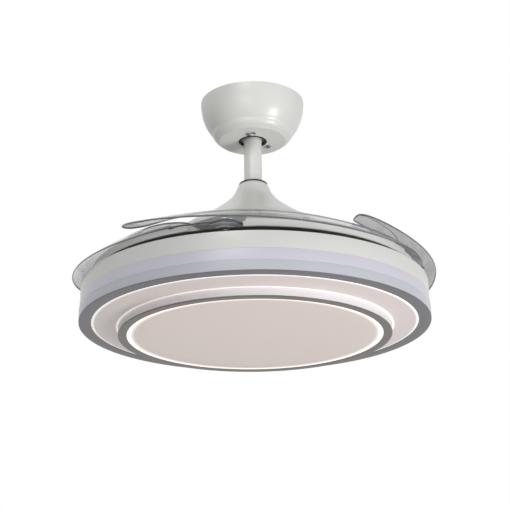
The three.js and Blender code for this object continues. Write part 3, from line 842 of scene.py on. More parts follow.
# ---- The fan's sub-assemblies -----------------------------------------------------------------
class SubAssembly:
    """What every sub-assembly does with a piece that it has made."""

    finishes: Finishes

    def settle(
        self,
        piece: bpy.types.Object,
        body: str,
        slot: str,
        nodes: Sequence[str],
        finish: Finish | Diffuser | ClearSheet | None = None,
    ) -> None:
        """Gives a piece its finish and its body, and hides the nodes that it stands for.

        Args:
            piece: The piece.
            body: The CAD body that it rides on.
            slot: The record's material slot; not used.
            nodes: The CAD nodes that it replaces.
            finish: Its finish, where it has none yet.
        """
        if finish:
            piece.data.materials.clear()
            piece.data.materials.append(self.finishes.of(finish))
        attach(piece, body)
        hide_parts(*nodes)
        LOG.info("%s rides on %s, %d faces", piece.name, body, len(piece.data.polygons))

    def refine(self, node: str, width: float, body: str, slot: str, finish: Finish) -> None:
        """Rounds the edges of a CAD node's own mesh and settles it in that node's place.

        Args:
            node: The CAD node.
            width: The bevel's width in millimetres.
            body: The CAD body that it rides on.
            slot: The record's material slot.
            finish: Its finish.
        """
        self.settle(refined(node, width), body, slot, [node], finish)

    def stand(
        self,
        row: RoundRow,
        name: str,
        part: bpy.types.Object,
        finish: Finish,
        body: str,
        slot: str,
        nodes: Sequence[str] = (),
    ) -> None:
        """Stands copies of a small part in a row round the axis and settles them as one piece.

        Args:
            row: The row.
            name: The piece's name.
            part: The part, which is removed.
            finish: The copies' finish.
            body: The CAD body that they ride on.
            slot: The record's material slot.
            nodes: The CAD nodes that they replace.
        """
        self.settle(row.stand(name, part, self.finishes.of(finish)), body, slot, nodes)


@dataclass
class CeilingMount(SubAssembly):
    """The bracket on the ceiling, the canopy under it and what it hides."""

    finishes: Finishes
    wall: float = 2.0
    bottom: float = 291.0
    foot: float = 50.2  # where the bowl's side turns into its bottom
    foot_fillet: float = 3.0
    flat: float = 30.0  # a point on the flat bottom
    hole: float = 20.4
    lining: float = 2.3  # the wall of the hole's lining
    lining_height: float = 3.5
    screw_head: float = 3.6
    screw_height: float = 2.3
    screw_circle: float = 29.0
    screw_angles: tuple[float, float] = (-102.0, 35.0)
    # The round cuts that make a keyhole: radius, and turn from the screw in degrees.
    keyhole: tuple[tuple[float, float], ...] = ((2.4, 0.0), (2.4, 4.3), (2.4, 8.6), (4.3, 13.0))
    outline: tuple[tuple[float, float], ...] = (
        (78, 353), (77.8, 347), (77.2, 341), (75.8, 333), (73.9, 326.5), (71.2, 319.8), (67.6, 313),
        (64, 307.6), (61.4, 304.4), (60.3, 302.5), (59.6, 300.4), (58.2, 298), (55.8, 295.4), (52.6, 293.2),
    )  # fmt: skip

    def canopy(self) -> bpy.types.Object:
        """Makes the bowl with its soft shoulder, its rod hole and its two keyholes.

        Returns:
            The bowl.
        """
        corners = [self.outline[-1], (self.foot, self.bottom, self.foot_fillet), (self.flat, self.bottom)]
        edge = [Vector((r, h, 0)) for r, h in filleted(corners)[1:-1]]
        rolled = [Vector((self.hole + 0.5, self.bottom, 0)), Vector((self.hole, self.bottom + 0.35, 0))]
        bowl = lathe("canopy_bowl", walled(smooth_line(self.outline, 6) + edge + rolled, self.wall))
        low, high = self.bottom - 1, self.bottom + self.wall + 1
        tools = []
        for angle in self.screw_angles:
            for radius, turn in self.keyhole:
                spot = polar(self.screw_circle, angle + turn)
                tools.append(lathe("keyhole", square_ring(0, radius, low, high), 24, spot))
        return carved(bowl, tools)

    def hole_lining(self) -> bpy.types.Object:
        """Makes the black ring that lines the rod hole, clear of the rod when it swings.

        Returns:
            The ring.
        """
        inner, skin, lip = self.hole - self.lining, self.hole - 0.2, self.hole + 0.9
        low, under, top = self.bottom - 0.5, self.bottom - 0.05, self.bottom + self.lining_height
        profile = [
            (inner, low, 0.5), (lip, low, 0.25), (lip, under), (skin, under), (skin, top, 0.3),
            (inner, top, 0.5),
        ]  # fmt: skip
        return lathe("hole_lining_ring", profile, 96)

    def build(self) -> None:
        """Builds and settles the whole mount."""
        body = "ceiling_mount"
        self.settle(self.canopy(), body, "white_paint", ["canopy"], POWDER_COAT)
        self.settle(self.hole_lining(), body, "post_rubber", [], EPDM)
        for number, angle in enumerate(self.screw_angles, 1):
            head = screw("screw", self.screw_head, self.screw_height, self.bottom - 0.3, True)
            row, node = RoundRow(1, self.screw_circle, angle), f"canopy_screw_{number}"
            self.stand(row, f"canopy_fixing_{number}", head, DARKER_ZINC, body, "zinc_steel", [node])
        self.refine("hanger_bracket", 0.5, body, "zinc_steel", ZINC_PLATE)
        self.refine("remote_receiver", 1.2, body, "box_plastic", BOX_ABS)
        self.refine("terminal_block", 0.8, body, "box_plastic", BOX_ABS)


@dataclass
class Suspension(SubAssembly):
    """The ball, the rod, the yoke and the flared cover over it."""

    finishes: Finishes
    rod: float = 13.35
    rod_bore: float = 11.0
    rod_bottom: float = 163.0
    rod_top: float = 340.0
    ball: float = 24.0
    ball_height: float = 319.0
    ball_cut: float = 22.4  # how far above and below its middle the ball's round skin ends
    ball_end: float = 21.0  # the same at its bore
    neck: float = 13.65  # the bore of the cover and of the seal on it
    neck_top: float = 219.3
    seal: float = 21.0
    seal_bottom: float = 219.6
    seal_top: float = 221.6
    lead: float = 2.3
    lead_route: tuple[tuple[float, float, float], ...] = (
        (0, 6, 334), (0, 6, 250), (0, 6, 185), (0, 5.4, 174), (0, 1, 161), (0, 0, 150), (0, 0, 90),
        (0, 0, 32),
    )  # fmt: skip
    lip: float = 115.0
    lip_bottom: float = 130.5
    lip_top: float = 134.0
    cover_wall: float = 2.0
    cover_outline: tuple[tuple[float, float], ...] = (
        (20.9, 218.6), (22.3, 216.9), (23.8, 213.7), (25.7, 209), (28.3, 204), (31.5, 199), (35.6, 194),
        (40.2, 189.5), (45.3, 184.8), (51, 180), (57.4, 175), (68, 167), (79, 159.5), (90, 152.8),
        (101, 146.5), (111, 139.3), (114, 136.4),
    )  # fmt: skip

    def cover(self) -> bpy.types.Object:
        """Makes the trumpet-shaped cover with its flat neck and its rolled lip.

        Returns:
            The cover.
        """
        neck = [(self.neck, self.neck_top), (20.0, self.neck_top), (20.6, 219.1)]
        lip = [(self.lip, self.lip_top), (self.lip, self.lip_bottom)]
        start, end = ([Vector((r, h, 0)) for r, h in line] for line in (neck, lip))
        line = start + smooth_line(self.cover_outline, 4) + end
        return lathe("flared_rod_cover", walled(line, self.cover_wall))

    def hanger_ball(self) -> bpy.types.Object:
        """Makes the ball, cut flat above and below and bored for the rod.

        Returns:
            The ball.
        """
        bore = self.rod + 0.3
        reach = math.degrees(math.asin(self.ball_cut / self.ball))
        arc = [polar(self.ball, -reach + 2 * reach * i / 24) for i in range(25)]
        skin = [(r, self.ball_height + h) for r, h in arc if r > bore + 0.5]
        low, high = self.ball_height - self.ball_end, self.ball_height + self.ball_end
        return lathe("nylon_hanger_ball", [(bore, low, 0.5), *skin, (bore, high, 0.5)], 72)

    def tube(self) -> bpy.types.Object:
        """Makes the round rod with its rounded ends.

        Returns:
            The rod.
        """
        heights = (self.rod_bottom, self.rod_top)
        section = square_ring(self.rod_bore, self.rod, *heights, 0.4, 0.6, 0.6, 0.4)
        return lathe("painted_downrod", section, 96)

    def seal_ring(self) -> bpy.types.Object:
        """Makes the soft ring between the rod and the cover's neck."""
        heights = (self.seal_bottom, self.seal_top)
        return lathe("rod_cover_seal", square_ring(self.neck, self.seal, *heights, 0.5, 0.7, 0.9, 0.5), 96)

    def build(self) -> None:
        """Builds and settles the whole suspension."""
        body = "hanging_frame"
        self.settle(self.cover(), body, "white_paint", ["rod_cover"], POWDER_COAT)
        self.settle(self.tube(), body, "white_paint", ["downrod"], POWDER_COAT)
        self.settle(self.seal_ring(), body, "seal_rubber", ["cover_seal"], EPDM)
        self.settle(self.hanger_ball(), body, "ball_nylon", ["hanger_ball"], NYLON)
        self.refine("yoke", 0.4, body, "white_paint", POWDER_COAT)
        for node in ("ball_pin", "yoke_pin", "yoke_pin_clip"):
            self.refine(node, 0.25, body, "pin_steel", GROUND_STEEL)
        route = smooth_line(self.lead_route, 10)
        lead = Sweep(self.lead, 16).follow("internal_supply_lead", route, self.finishes.of(PVC))
        self.settle(lead, body, "lead_jacket", ["supply_lead"])


@dataclass
class Motor(SubAssembly):
    """The stator on its fixed hollow shaft, and the shells and magnets that turn round it."""

    finishes: Finishes
    radius: float = 62.0
    top: float = 119.0
    deck: float = 77.2
    flange: float = 80.0
    flange_height: float = 2.3
    bearing: float = 14.0
    shaft: float = 8.5
    shaft_bore: float = 5.0
    shaft_bottom: float = 40.0
    shaft_top: float = 158.0
    teeth: int = 12
    coil: tuple[float, float] = (27.3, 44.2)  # the inner and the outer radius of a hank
    coil_half: float = 7.0
    coil_round: float = 2.6
    # The lowest and the highest height of the hanks on each side of the core.
    coil_heights: tuple[tuple[str, float, float], ...] = (("upper", 99.3, 106.0), ("lower", 68.5, 74.7))

    def upper_shell(self) -> bpy.types.Object:
        """Makes the cover with its flange, its sloped shoulder and its bearing boss.

        Returns:
            The cover.
        """
        inner, seat = self.radius - 2.5, self.bearing + 0.3
        low, brim = self.deck + 0.3, self.deck + 0.3 + self.flange_height
        return lathe(
            "motor_cover",
            [
                (inner, low), (self.flange, low, 0.5), (self.flange, brim, 0.8), (self.radius, brim, 1.5),
                (self.radius, self.top - 7, 2.5), (self.radius - 7, self.top, 3.0), (seat, self.top, 0.6),
                (seat, self.top - 2.5), (inner - 5.5, self.top - 2.5), (inner, self.top - 8),
            ],
        )  # fmt: skip

    def hollow_shaft(self) -> bpy.types.Object:
        """Makes the fixed shaft, which the lead runs through.

        Returns:
            The shaft.
        """
        heights = (self.shaft_bottom, self.shaft_top)
        section = square_ring(self.shaft_bore, self.shaft, *heights, 0.4, 0.6, 0.6, 0.4)
        return lathe("hollow_motor_shaft", section, 64)

    def build(self) -> None:
        """Builds and settles the whole motor."""
        fixed, turning = "hanging_frame", "rotor"
        self.settle(self.hollow_shaft(), fixed, "ground_steel", ["motor_shaft"], GROUND_STEEL)
        self.refine("stator_core", 0.3, fixed, "core_steel", LAMINATIONS)
        (near, far), half = self.coil, self.coil_half
        row = RoundRow(self.teeth, 0.0)
        for side, low, high in self.coil_heights:
            hank = bevelled(box("hank", (near, -half, low), (far, half, high)), self.coil_round)
            name, node = f"{side}_end_turns", f"{side}_winding"
            self.stand(row, name, hank, COPPER_WIRE, fixed, "winding_copper", [node])
        self.refine("shaft_nut", 0.4, fixed, "zinc_steel", ZINC_PLATE)
        self.settle(self.upper_shell(), turning, "white_paint", ["motor_upper_shell"], POWDER_COAT)
        self.refine("motor_lower_shell", 0.5, turning, "core_steel", CAST_ALUMINIUM)
        self.refine("magnet_ring", 0.3, turning, "magnet_ferrite", FERRITE)
        for node in ("upper_bearing", "lower_bearing"):
            self.refine(node, 0.3, turning, "ground_steel", GROUND_STEEL)


@dataclass
class Lamp(SubAssembly):
    """The stepped round lamp: its bands, trim rings, covers, pan and boards."""

    finishes: Finishes
    radius: float = 251.5
    band: float = 250.0
    band_bottom: float = 30.8
    band_top: float = 54.8
    split: float = 14.6
    opening: float = 233.8
    drum: float = 195.7
    drum_face: float = -16.2
    drum_opening: float = 183.2
    recess_inner: float = -4.3
    outer_board: tuple[float, float] = (18.6, 20.2)  # underside and top
    middle_board: tuple[float, float] = (6.1, 7.7)
    sheet: float = 1.1
    sides: int = 256

    def rings(self) -> list[tuple[str, str, str, Finish | Diffuser, Profile]]:
        """Lists the turned pieces that show.

        Returns:
            Name, node, slot, finish and profile of each.
        """
        gap, rest, drum_top = 0.3, self.sheet + 0.3, self.drum_face + self.sheet + 0.3
        seam = 0.05  # half of the line that shows between two bands
        face_top = self.drum_face + self.sheet
        return [
            ("painted_lamp_band", "lamp_housing", "white_paint", BAKED_ENAMEL,
                square_ring(244.6, self.band, self.band_bottom, self.band_top, 0.3, 0.2, 1.1, 0.9)),
            ("lavender_side_band", "upper_light_band", "lavender_acrylic", LAVENDER_ACRYLIC, [
                (243.6, self.split + seam, 0.3), (self.radius, self.split + seam, 0.15),
                (self.band + 0.1, self.band_bottom - 2 * seam, 0.15), (243.6, self.band_bottom - gap, 0.3)]),
            ("pale_blue_side_band", "lower_light_band", "blue_acrylic", BLUE_ACRYLIC, [
                (245.5, rest, 0.3), (self.radius, self.sheet + seam, 0.2),
                (self.radius, self.split - seam, 0.15), (245.5, self.split - seam, 0.3)]),
            ("grey_outer_trim", "outer_trim_ring", "grey_trim", GREY_ANODISED, [
                (self.opening, 0, 0.4), (self.radius, 0, 0.6), (self.radius, self.sheet, 0.3),
                (245.2, self.sheet), (245.2, 13, 0.4), (243.2, 13, 0.4), (243.2, self.sheet),
                (self.opening, self.sheet, 0.3)]),
            ("recess_cover", "recess_diffuser", "recess_acrylic", RECESS_ACRYLIC, [
                (242.8, rest), (242.8, rest + 2, 0.5), (232, rest + 1.2, 2.0),
                (self.drum + gap, self.recess_inner + 2, 0.5), (self.drum + gap, self.recess_inner, 0.5),
                (232.6, gap, 1.2), (233.4, rest)]),
            ("drum_side_band", "drum_light_band", "blue_acrylic", MILKY_ACRYLIC,
                square_ring(192.6, self.drum, drum_top, -1, 0.3, 0.3, 0.5, 0.3)),
            ("taupe_inner_trim", "inner_trim_ring", "taupe_trim", TAUPE_ANODISED, [
                (self.drum_opening, self.drum_face, 0.4), (self.drum, self.drum_face, 0.6),
                (self.drum, face_top, 0.3), (191.6, face_top), (191.6, face_top + 9, 0.4),
                (190, face_top + 9, 0.4), (190, face_top), (self.drum_opening, face_top, 0.3)]),
            ("middle_cover", "centre_diffuser", "opal_acrylic", OPAL_ACRYLIC, [
                (0, drum_top), (140, drum_top), (189.4, drum_top, 0.4), (189.4, drum_top + 2.5, 0.4),
                (0, drum_top + 2.5)]),
            # The base plate's black is painted shade, for the dark gap above the lamp's band.
            ("black_base_plate", "lamp_base_plate", "black_paint", PAINTED_SHADE_BLACK,
                square_ring(8.8, 244.2, 50, 51.8, 0.3, 0.3, 0.5, 0.3)),
            ("white_reflector_pan", "reflector_pan", "pan_white", REFLECTOR_PAINT, [
                (20, 8, 0.3), (189.5, 8, 1.5), (189.5, 20.5, 1.5), (242.5, 20.5, 1.5), (242.5, 49.7, 0.3),
                (241, 49.7, 0.3), (241, 22, 1.0), (188, 22, 1.0), (188, 9.5, 1.0), (20, 9.5, 0.3)]),
            ("outer_chip_board", "outer_led_board", "board_white", SOLDER_MASK,
                square_ring(202, 230, *self.outer_board, 0.2, 0.2, 0.2, 0.2)),
            ("middle_chip_board", "centre_led_board", "board_white", SOLDER_MASK,
                square_ring(30, 170, *self.middle_board, 0.2, 0.2, 0.2, 0.2)),
        ]  # fmt: skip

    def chips(self) -> None:
        """Stands the chips in rings under both boards."""
        for name, count, radius, face in (
            ("outer_chips", 60, 216.0, self.outer_board[0]),
            ("middle_chips_wide", 48, 150.0, self.middle_board[0]),
            ("middle_chips_mid", 32, 105.0, self.middle_board[0]),
            ("middle_chips_near", 18, 60.0, self.middle_board[0]),
        ):
            chip = bevelled(box("chip", (-1.4, -1.8, face - 0.7), (1.4, 1.8, face + 0.1)), 0.3)
            self.stand(RoundRow(count, radius), name, chip, PHOSPHOR, "hanging_frame", "board_white")

    def build(self) -> None:
        """Builds and settles the whole lamp."""
        for name, node, slot, finish, profile in self.rings():
            self.settle(lathe(name, profile, self.sides), "hanging_frame", slot, [node], finish)
        self.refine("led_driver", 1.5, "hanging_frame", "box_plastic", BOX_ABS)
        self.chips()


@dataclass
class Carrier(SubAssembly):
    """The tray, the spider and what holds and stops the blades."""

    finishes: Finishes
    radius: float = 235.0
    bottom: float = 65.6
    top: float = 72.5
    deck: float = 77.2
    deck_radius: float = 188.0
    sheet: float = 2.2
    hole: float = 64.0
    first: float = -9.5
    blades: int = 4
    pivot: float = PIVOT_RADIUS
    clearance: float = 2.5  # between a blade's root and its pocket
    behind: float = 17.0  # how far a pocket's long part reaches in from the pivot
    along: float = 48.0
    rim_along: float = 76.0
    shoulder_edge: float = 75.9
    shoulder_top: float = 84.0
    film_inner: float = 206.0
    pin_bottom: float = 64.0
    pin_seat: float = 65.3
    pin_head: float = 8.0
    pin_shank: float = 4.0
    post_circle: float = 182.0
    post_turn: float = 58.0  # from a blade's pivot, clockwise

    def azimuths(self) -> list[float]:
        """Gives each blade pivot's angle in degrees from +X."""
        return [self.first + 360.0 / self.blades * i for i in range(self.blades)]

    def pocket(self, azimuth: float) -> list[bpy.types.Object]:
        """Makes the cutters of one blade's pocket.

        Args:
            azimuth: The blade's angle.

        Returns:
            A round cutter, a long one and one that clears the raised rim.
        """
        reach, low, high = ROOT_RADIUS + self.clearance, self.bottom - 1, self.shoulder_top + 1
        near, far = self.pivot - self.behind, self.pivot + reach
        round_tool = lathe("pocket", square_ring(0, reach, low, high), 64, (self.pivot, 0))
        long_tool = box("pocket", (near, -self.along, low), (far, 0, high))
        rim_tool = box("pocket", (near, -self.rim_along, self.top), (far, reach, high))
        turn = Matrix.Rotation(math.radians(azimuth), 4, "Z")
        for tool in (round_tool, long_tool, rim_tool):
            tool.data.transform(turn)
        return [round_tool, long_tool, rim_tool]

    def tray(self) -> bpy.types.Object:
        """Makes the tray with its pockets, painted black underneath as shade and white outside.

        Returns:
            The tray, with both its materials.
        """
        s = self.sheet
        body = lathe(
            "blade_tray_moulding",
            [
                (self.radius, self.bottom, 0.7), (self.radius, self.shoulder_edge, 2.5),
                (222, self.shoulder_top, 3.0), (209, self.shoulder_top, 2.0), (206, self.top, 1.5),
                (self.deck_radius + 2.7, self.top, 1.5), (self.deck_radius, self.deck, 1.5),
                (self.hole, self.deck, 0.6), (self.hole, self.deck - s, 0.4),
                (self.deck_radius - 1.3, self.deck - s, 1.0), (self.deck_radius + 1.4, self.top - s, 1.0),
                (207.7, self.top - s, 1.0), (210.7, self.shoulder_top - s, 1.0),
                (221.4, self.shoulder_top - s, 1.5), (self.radius - s, self.shoulder_edge - 1.2, 1.5),
                (self.radius - s, self.bottom, 0.6),
            ],
            256,
        )  # fmt: skip
        made = carved(body, [tool for azimuth in self.azimuths() for tool in self.pocket(azimuth)])
        made.data.materials.clear()
        made.data.materials.append(self.finishes.of(MOULDED_ABS))
        made.data.materials.append(self.finishes.of(PAINTED_SHADE_BLACK))
        # The underside faces inside the rim take the black of painted shade, for the dark seen up through the
        # gap.
        for face in made.data.polygons:
            inside = face.center.xy.length < (self.radius - s + 0.3) * MM
            face.material_index = 1 if inside and face.normal.z < -0.5 else 0
        return made

    def under_film(self) -> bpy.types.Object:
        """Makes the thin grey ring of painted shade that closes the tray underneath, over the heads of the
        pivot pins.

        Returns:
            The ring.
        """
        outer = self.radius - self.sheet - 0.3
        section = square_ring(self.film_inner, outer, self.bottom - 0.26, self.bottom - 0.06)
        return lathe("dark_under_film", section, 192)

    def pin(self) -> bpy.types.Object:
        """Turns one pivot pin: its head under the blade, its shank and its riveted end.

        Returns:
            The pin, on the fan's axis.
        """
        low, seat, top = self.pin_bottom, self.pin_seat, self.deck + 2.6
        head, shank = self.pin_head, self.pin_shank
        profile = [
            (0, low), (head, low, 0.5), (head, seat, 0.3), (shank, seat), (shank, top), (head, top, 0.3),
            (head, top + 1.6, 0.7), (3.2, top + 1.6), (2.6, top + 0.9), (0, top + 0.9),
        ]  # fmt: skip
        return lathe("pin", profile, 48)

    def post(self) -> bpy.types.Object:
        """Turns one soft post: its foot, its waist and its head.

        Returns:
            The post, on the fan's axis.
        """
        low = self.deck + 0.3
        profile = [
            (0, low), (5, low, 0.3), (5, 80, 0.5), (4.2, 82, 1), (4.2, 97, 1), (5, 99, 1), (5, 101, 1.4),
            (0, 101),
        ]  # fmt: skip
        return lathe("post", profile, 32)

    def build(self) -> None:
        """Builds and settles the carrier."""
        body = "rotor"
        self.settle(self.tray(), body, "tray_plastic", ["blade_tray"])
        # A grey film of painted shade under the tray.
        self.settle(self.under_film(), body, "black_paint", [], PAINTED_SHADE_FILM)
        self.refine("pivot_spider", 0.4, body, "zinc_steel", ZINC_PLATE)
        numbers = range(1, self.blades + 1)
        row = RoundRow(self.blades, self.pivot, self.first)
        nodes = [f"pivot_pin_{i}" for i in numbers]
        self.stand(row, "pivot_pins", self.pin(), GROUND_STEEL, body, "pin_steel", nodes)
        row = RoundRow(self.blades, self.post_circle, self.first - self.post_turn)
        nodes = [f"rest_post_{i}" for i in numbers]
        self.stand(row, "blade_rest_posts", self.post(), EPDM, body, "post_rubber", nodes)
        for name, head, height, seat, count, circle, start in (
            ("spider_screws", 3.4, 2.0, 2.3, 8, 101.0, self.first + 22.5),
            ("motor_cover_screws", 2.6, 1.6, 2.6, 6, 71.0, 10.0),
        ):
            bolt = screw("bolt", head, height, self.deck + seat, False)
            self.stand(RoundRow(count, circle, start), name, bolt, ZINC_PLATE, body, "zinc_steel")


@dataclass
class BladeArm(SubAssembly):
    """One folded blade with its bush, its screws and its return spring."""

    finishes: Finishes
    number: int
    azimuth: float
    pivot: float = PIVOT_RADIUS
    thickness: float = 2.4
    camber: float = 0.3
    plate_bottom: float = 68.0
    plate_top: float = 72.0
    plate_hole: float = 8.0
    bush: float = 15.0
    bush_neck: float = 7.7
    bush_bore: float = 4.3
    bush_bottom: float = 66.0
    bush_flange: float = 67.7
    bush_top: float = 76.9
    screw_head: float = 2.0
    screw_height: float = 1.3
    screw_circle: float = 11.0
    spring_turns: float = 2.5
    spring_radius: float = 10.6
    spring_wire: float = 0.75
    spring_bottom: float = 73.1
    spring_top: float = 76.1
    edge: float = 1.3  # width of the rounded edge
    edge_share: float = 0.3  # the most of the blade's width that it takes
    edge_rise: float = 0.6  # a face of the root plate whose normal rises less than this is an edge
    milky: float = 47.0  # how far from the pivot the plastic is thick and milky
    rows_between: int = 12
    columns: int = 10
    # Sweep clockwise from the pivot in degrees, the outer edge's radius and height, the inner edge's.
    stations: tuple[tuple[float, ...], ...] = (
        (4, 245, 70, 206, 70), (9, 247, 69.5, 214, 73), (13, 249, 68.5, 222, 81.5),
        (20, 252, 66.5, 223, 86.5), (30, 256, 63.5, 216, 92), (45, 260, 62, 193, 102),
        (60, 262, 63.5, 177, 109), (80, 262.5, 68, 174, 111), (100, 259.5, 75.5, 186, 108.5),
        (115, 250, 86, 190, 107.5), (123, 242.5, 93.5, 193.5, 106.8), (127, 238, 97.5, 197, 106),
        (129.5, 235, 99.5, 205, 104), (131.3, 231.5, 100.8, 214, 102.2), (132, 228, 101.4, 221, 101.6),
    )  # fmt: skip
    # The fold line that starts at the tip's outer corner: sweep, and share of the way to the inner edge.
    fold: tuple[tuple[float, float], ...] = ((60.0, 0.9), (85.0, 0.8), (107.0, 0.5), (131.0, 0.08))
    fold_depth: float = 0.35
    fold_start: float = 78.0  # the sweep from which the fold shows as a dark line
    groove: float = 0.8  # half the width of that line
    groove_share: float = 0.04  # the most of the blade's width that it takes
    fold_room: float = 0.05  # the least share of the width between the fold and an edge

    def fold_at(self, sweep: float) -> float:
        """Gives where the fold line crosses a sweep angle, as a share of the blade's width.

        Args:
            sweep: The sweep angle in degrees.

        Returns:
            The share, 0 at the outer edge and 1 at the inner one.
        """
        line = self.fold
        if sweep <= line[0][0]:
            return line[0][1]
        for (a, first), (b, second) in zip(line, line[1:]):
            if sweep <= b:
                return first + (second - first) * (sweep - a) / (b - a)
        return line[-1][1]

    def section(self, outer: Vector, inner: Vector) -> list[Vector]:
        """Draws the blade's closed section at one sweep angle.

        Args:
            outer: Radius, height and sweep of the outer edge.
            inner: The same of the inner edge.

        Returns:
            The section's points: the outer edge, the underside, the inner edge and the top side.
        """
        width = max(math.hypot(outer.x - inner.x, outer.y - inner.y), TINY)
        margin = min(self.edge / width, self.edge_share)
        fold = min(max(self.fold_at(outer.z), margin + self.fold_room), 1 - margin - self.fold_room)
        groove = min(self.groove / width, self.groove_share)
        steps = range(self.columns + 1)
        before = [margin + (fold - groove - margin) * k / self.columns for k in steps]
        after = [fold + groove + (1 - margin - fold - groove) * k / self.columns for k in steps]
        shares = [*before, fold, *after]

        def at(share: float, lift: float) -> Vector:
            """Gives the point at a share of the width, lifted off the middle of the sheet.

            Args:
                share: 0 at the outer edge and 1 at the inner one.
                lift: How far the point is lifted.

            Returns:
                The point.
            """
            here = outer.lerp(inner, share)
            crown = self.camber * (inner.y - outer.y) * share * (1 - share)
            x, y = polar(here.x, self.azimuth - here.z)
            return Vector((x, y, here.y + crown + lift))

        half = self.thickness / 2
        sink = [self.fold_depth if share == fold else 0.0 for share in shares]
        under = [at(share, -half + deep) for share, deep in zip(shares, sink)]
        over = [at(share, half) for share in shares]
        return [at(0.0, 0.0), *under, at(1.0, 0.0), *over[::-1]]

    def sheet(self) -> bpy.types.Object:
        """Makes the twisted blade as one closed sheet with dark rounded edges.

        Returns:
            The sheet, with its clear and dark materials.
        """
        outer = smooth_line([(r, h, sweep) for sweep, r, h, _, _ in self.stations], self.rows_between)
        inner = smooth_line([(r, h, sweep) for sweep, _, _, r, h in self.stations], self.rows_between)
        sections = [self.section(a, b) for a, b in zip(outer, inner)]
        count = len(sections[0])
        span = (count - 2) // 2
        points = [tuple(p) for one in sections for p in one]
        faces = []
        dark = []
        rims = {0, span, span + 1, count - 1}
        creases = {self.columns + 1, self.columns + 2}
        for i in range(len(sections) - 1):
            lined = rims | creases if outer[i].z > self.fold_start else rims
            for j in range(count):
                a, b = i * count + j, i * count + (j + 1) % count
                faces.append((a, b, b + count, a + count))
                dark.append(j in lined)
        for start, flip in ((0, False), ((len(sections) - 1) * count, True)):
            rim = [start + j for j in range(count)]
            for k in range(span + 1):
                low, high = rim[k : k + 2], [rim[-k % count], rim[-(k + 1) % count]]
                corners = list(dict.fromkeys([*low, *high[::-1]]))
                faces.append(tuple(reversed(corners)) if flip else tuple(corners))
                dark.append(True)
        made = solid("blade_sheet", points, faces)
        self.dress(made, dark)
        tidy = bmesh.new()
        tidy.from_mesh(made.data)
        bmesh.ops.recalc_face_normals(tidy, faces=tidy.faces)
        tidy.to_mesh(made.data)
        tidy.free()
        return made

    def dress(self, piece: bpy.types.Object, dark: Sequence[bool]) -> None:
        """Gives a clear piece its two materials.

        Args:
            piece: The piece.
            dark: For each face, whether it is an edge.
        """
        piece.data.materials.clear()
        piece.data.materials.append(self.finishes.of(POLYCARBONATE))
        piece.data.materials.append(self.finishes.of(POLYCARBONATE_EDGE))
        for face, edge in zip(piece.data.polygons, dark):
            face.material_index = int(edge)

    def blade(self) -> bpy.types.Object:
        """Joins the sheet to its round root plate and bores the plate.

        Returns:
            The blade, with its three materials.
        """
        spot = polar(self.pivot, self.azimuth)
        heights = (self.plate_bottom, self.plate_top)
        section = square_ring(self.plate_hole, ROOT_RADIUS, *heights, 0.3, 0.8, 0.8, 0.3)
        plate = lathe("root_plate", section, 72, spot)
        self.dress(plate, [abs(face.normal.z) < self.edge_rise for face in plate.data.polygons])
        made = carved(self.sheet(), [plate], "UNION")
        made.data.materials.append(self.finishes.of(POLYCARBONATE_BOSS))
        pivot = Vector(spot) * MM
        for face in made.data.polygons:
            if face.material_index == 0 and (face.center.xy - pivot).length < self.milky * MM:
                face.material_index = 2
        made.name = f"clear_blade_{self.number}"
        made.visible_shadow = False  # clear plastic lets the lamps' light through
        return made

    def bush_piece(self) -> bpy.types.Object:
        """Makes the bush with its flange.

        Returns:
            The bush.
        """
        bore, neck, rim = self.bush_bore, self.bush_neck, self.bush
        low, flange, top = self.bush_bottom, self.bush_flange, self.bush_top
        profile = [
            (bore, low, 0.3), (rim, low, 0.6), (rim, flange, 0.4), (neck, flange), (neck, top, 0.4),
            (bore, top, 0.3),
        ]  # fmt: skip
        return lathe(f"blade_bush_{self.number}", profile, 64, polar(self.pivot, self.azimuth))

    def screws(self) -> bpy.types.Object:
        """Stands three screws under the bush's flange.

        Returns:
            The three screws as one piece.
        """
        head = screw("screw", self.screw_head, self.screw_height, self.bush_bottom, True)
        row = RoundRow(3, self.screw_circle, self.azimuth + 30.0)
        made = row.stand(f"blade_bush_screws_{self.number}", head, self.finishes.of(ZINC_PLATE))
        x, y = polar(self.pivot, self.azimuth)
        made.data.transform(Matrix.Translation((x * MM, y * MM, 0)))
        return made

    def spring(self) -> bpy.types.Object:
        """Winds the return spring round the bush.

        Returns:
            The spring.
        """
        x, y = polar(self.pivot, self.azimuth)
        steps = 28  # in each turn
        low, rise = self.spring_bottom, self.spring_top - self.spring_bottom
        route = []
        for i in range(int(self.spring_turns * steps) + 1):
            dx, dy = polar(self.spring_radius, self.azimuth + 360.0 * i / steps)
            route.append((x + dx, y + dy, low + rise * i / (self.spring_turns * steps)))
        wire = Sweep(self.spring_wire, 10)
        return wire.follow(f"return_spring_wire_{self.number}", route, self.finishes.of(SPRING_WIRE))

    def build(self) -> None:
        """Builds and settles the whole arm."""
        body, n = f"blade_arm_{self.number}", self.number
        self.settle(self.blade(), body, "clear_blade", [f"blade_{n}"])
        self.settle(self.bush_piece(), body, "hub_plastic", [f"blade_hub_{n}"], FILLED_NYLON)
        self.settle(self.screws(), body, "zinc_steel", [])
        self.settle(self.spring(), body, "spring_steel", [f"return_spring_{n}"])


# ---- Studio -----------------------------------------------------------------------------------
@dataclass(frozen=True)
class SoftBox:
    """An area lamp that points at the fan."""

    name: str
    place: tuple[float, float, float]  # metres
    size: float
    power: float

    def hang(self, target: Vector) -> None:
        """Puts the lamp in the scene.

        Args:
            target: The point that it faces.
        """
        data = bpy.data.lights.new(self.name, "AREA")
        data.shape = "DISK"
        data.size = self.size
        data.energy = self.power
        lamp = bpy.data.objects.new(self.name, data)
        lamp.location = self.place
        lamp.rotation_euler = (target - Vector(self.place)).to_track_quat("-Z", "Y").to_euler()
        bpy.context.scene.collection.objects.link(lamp)


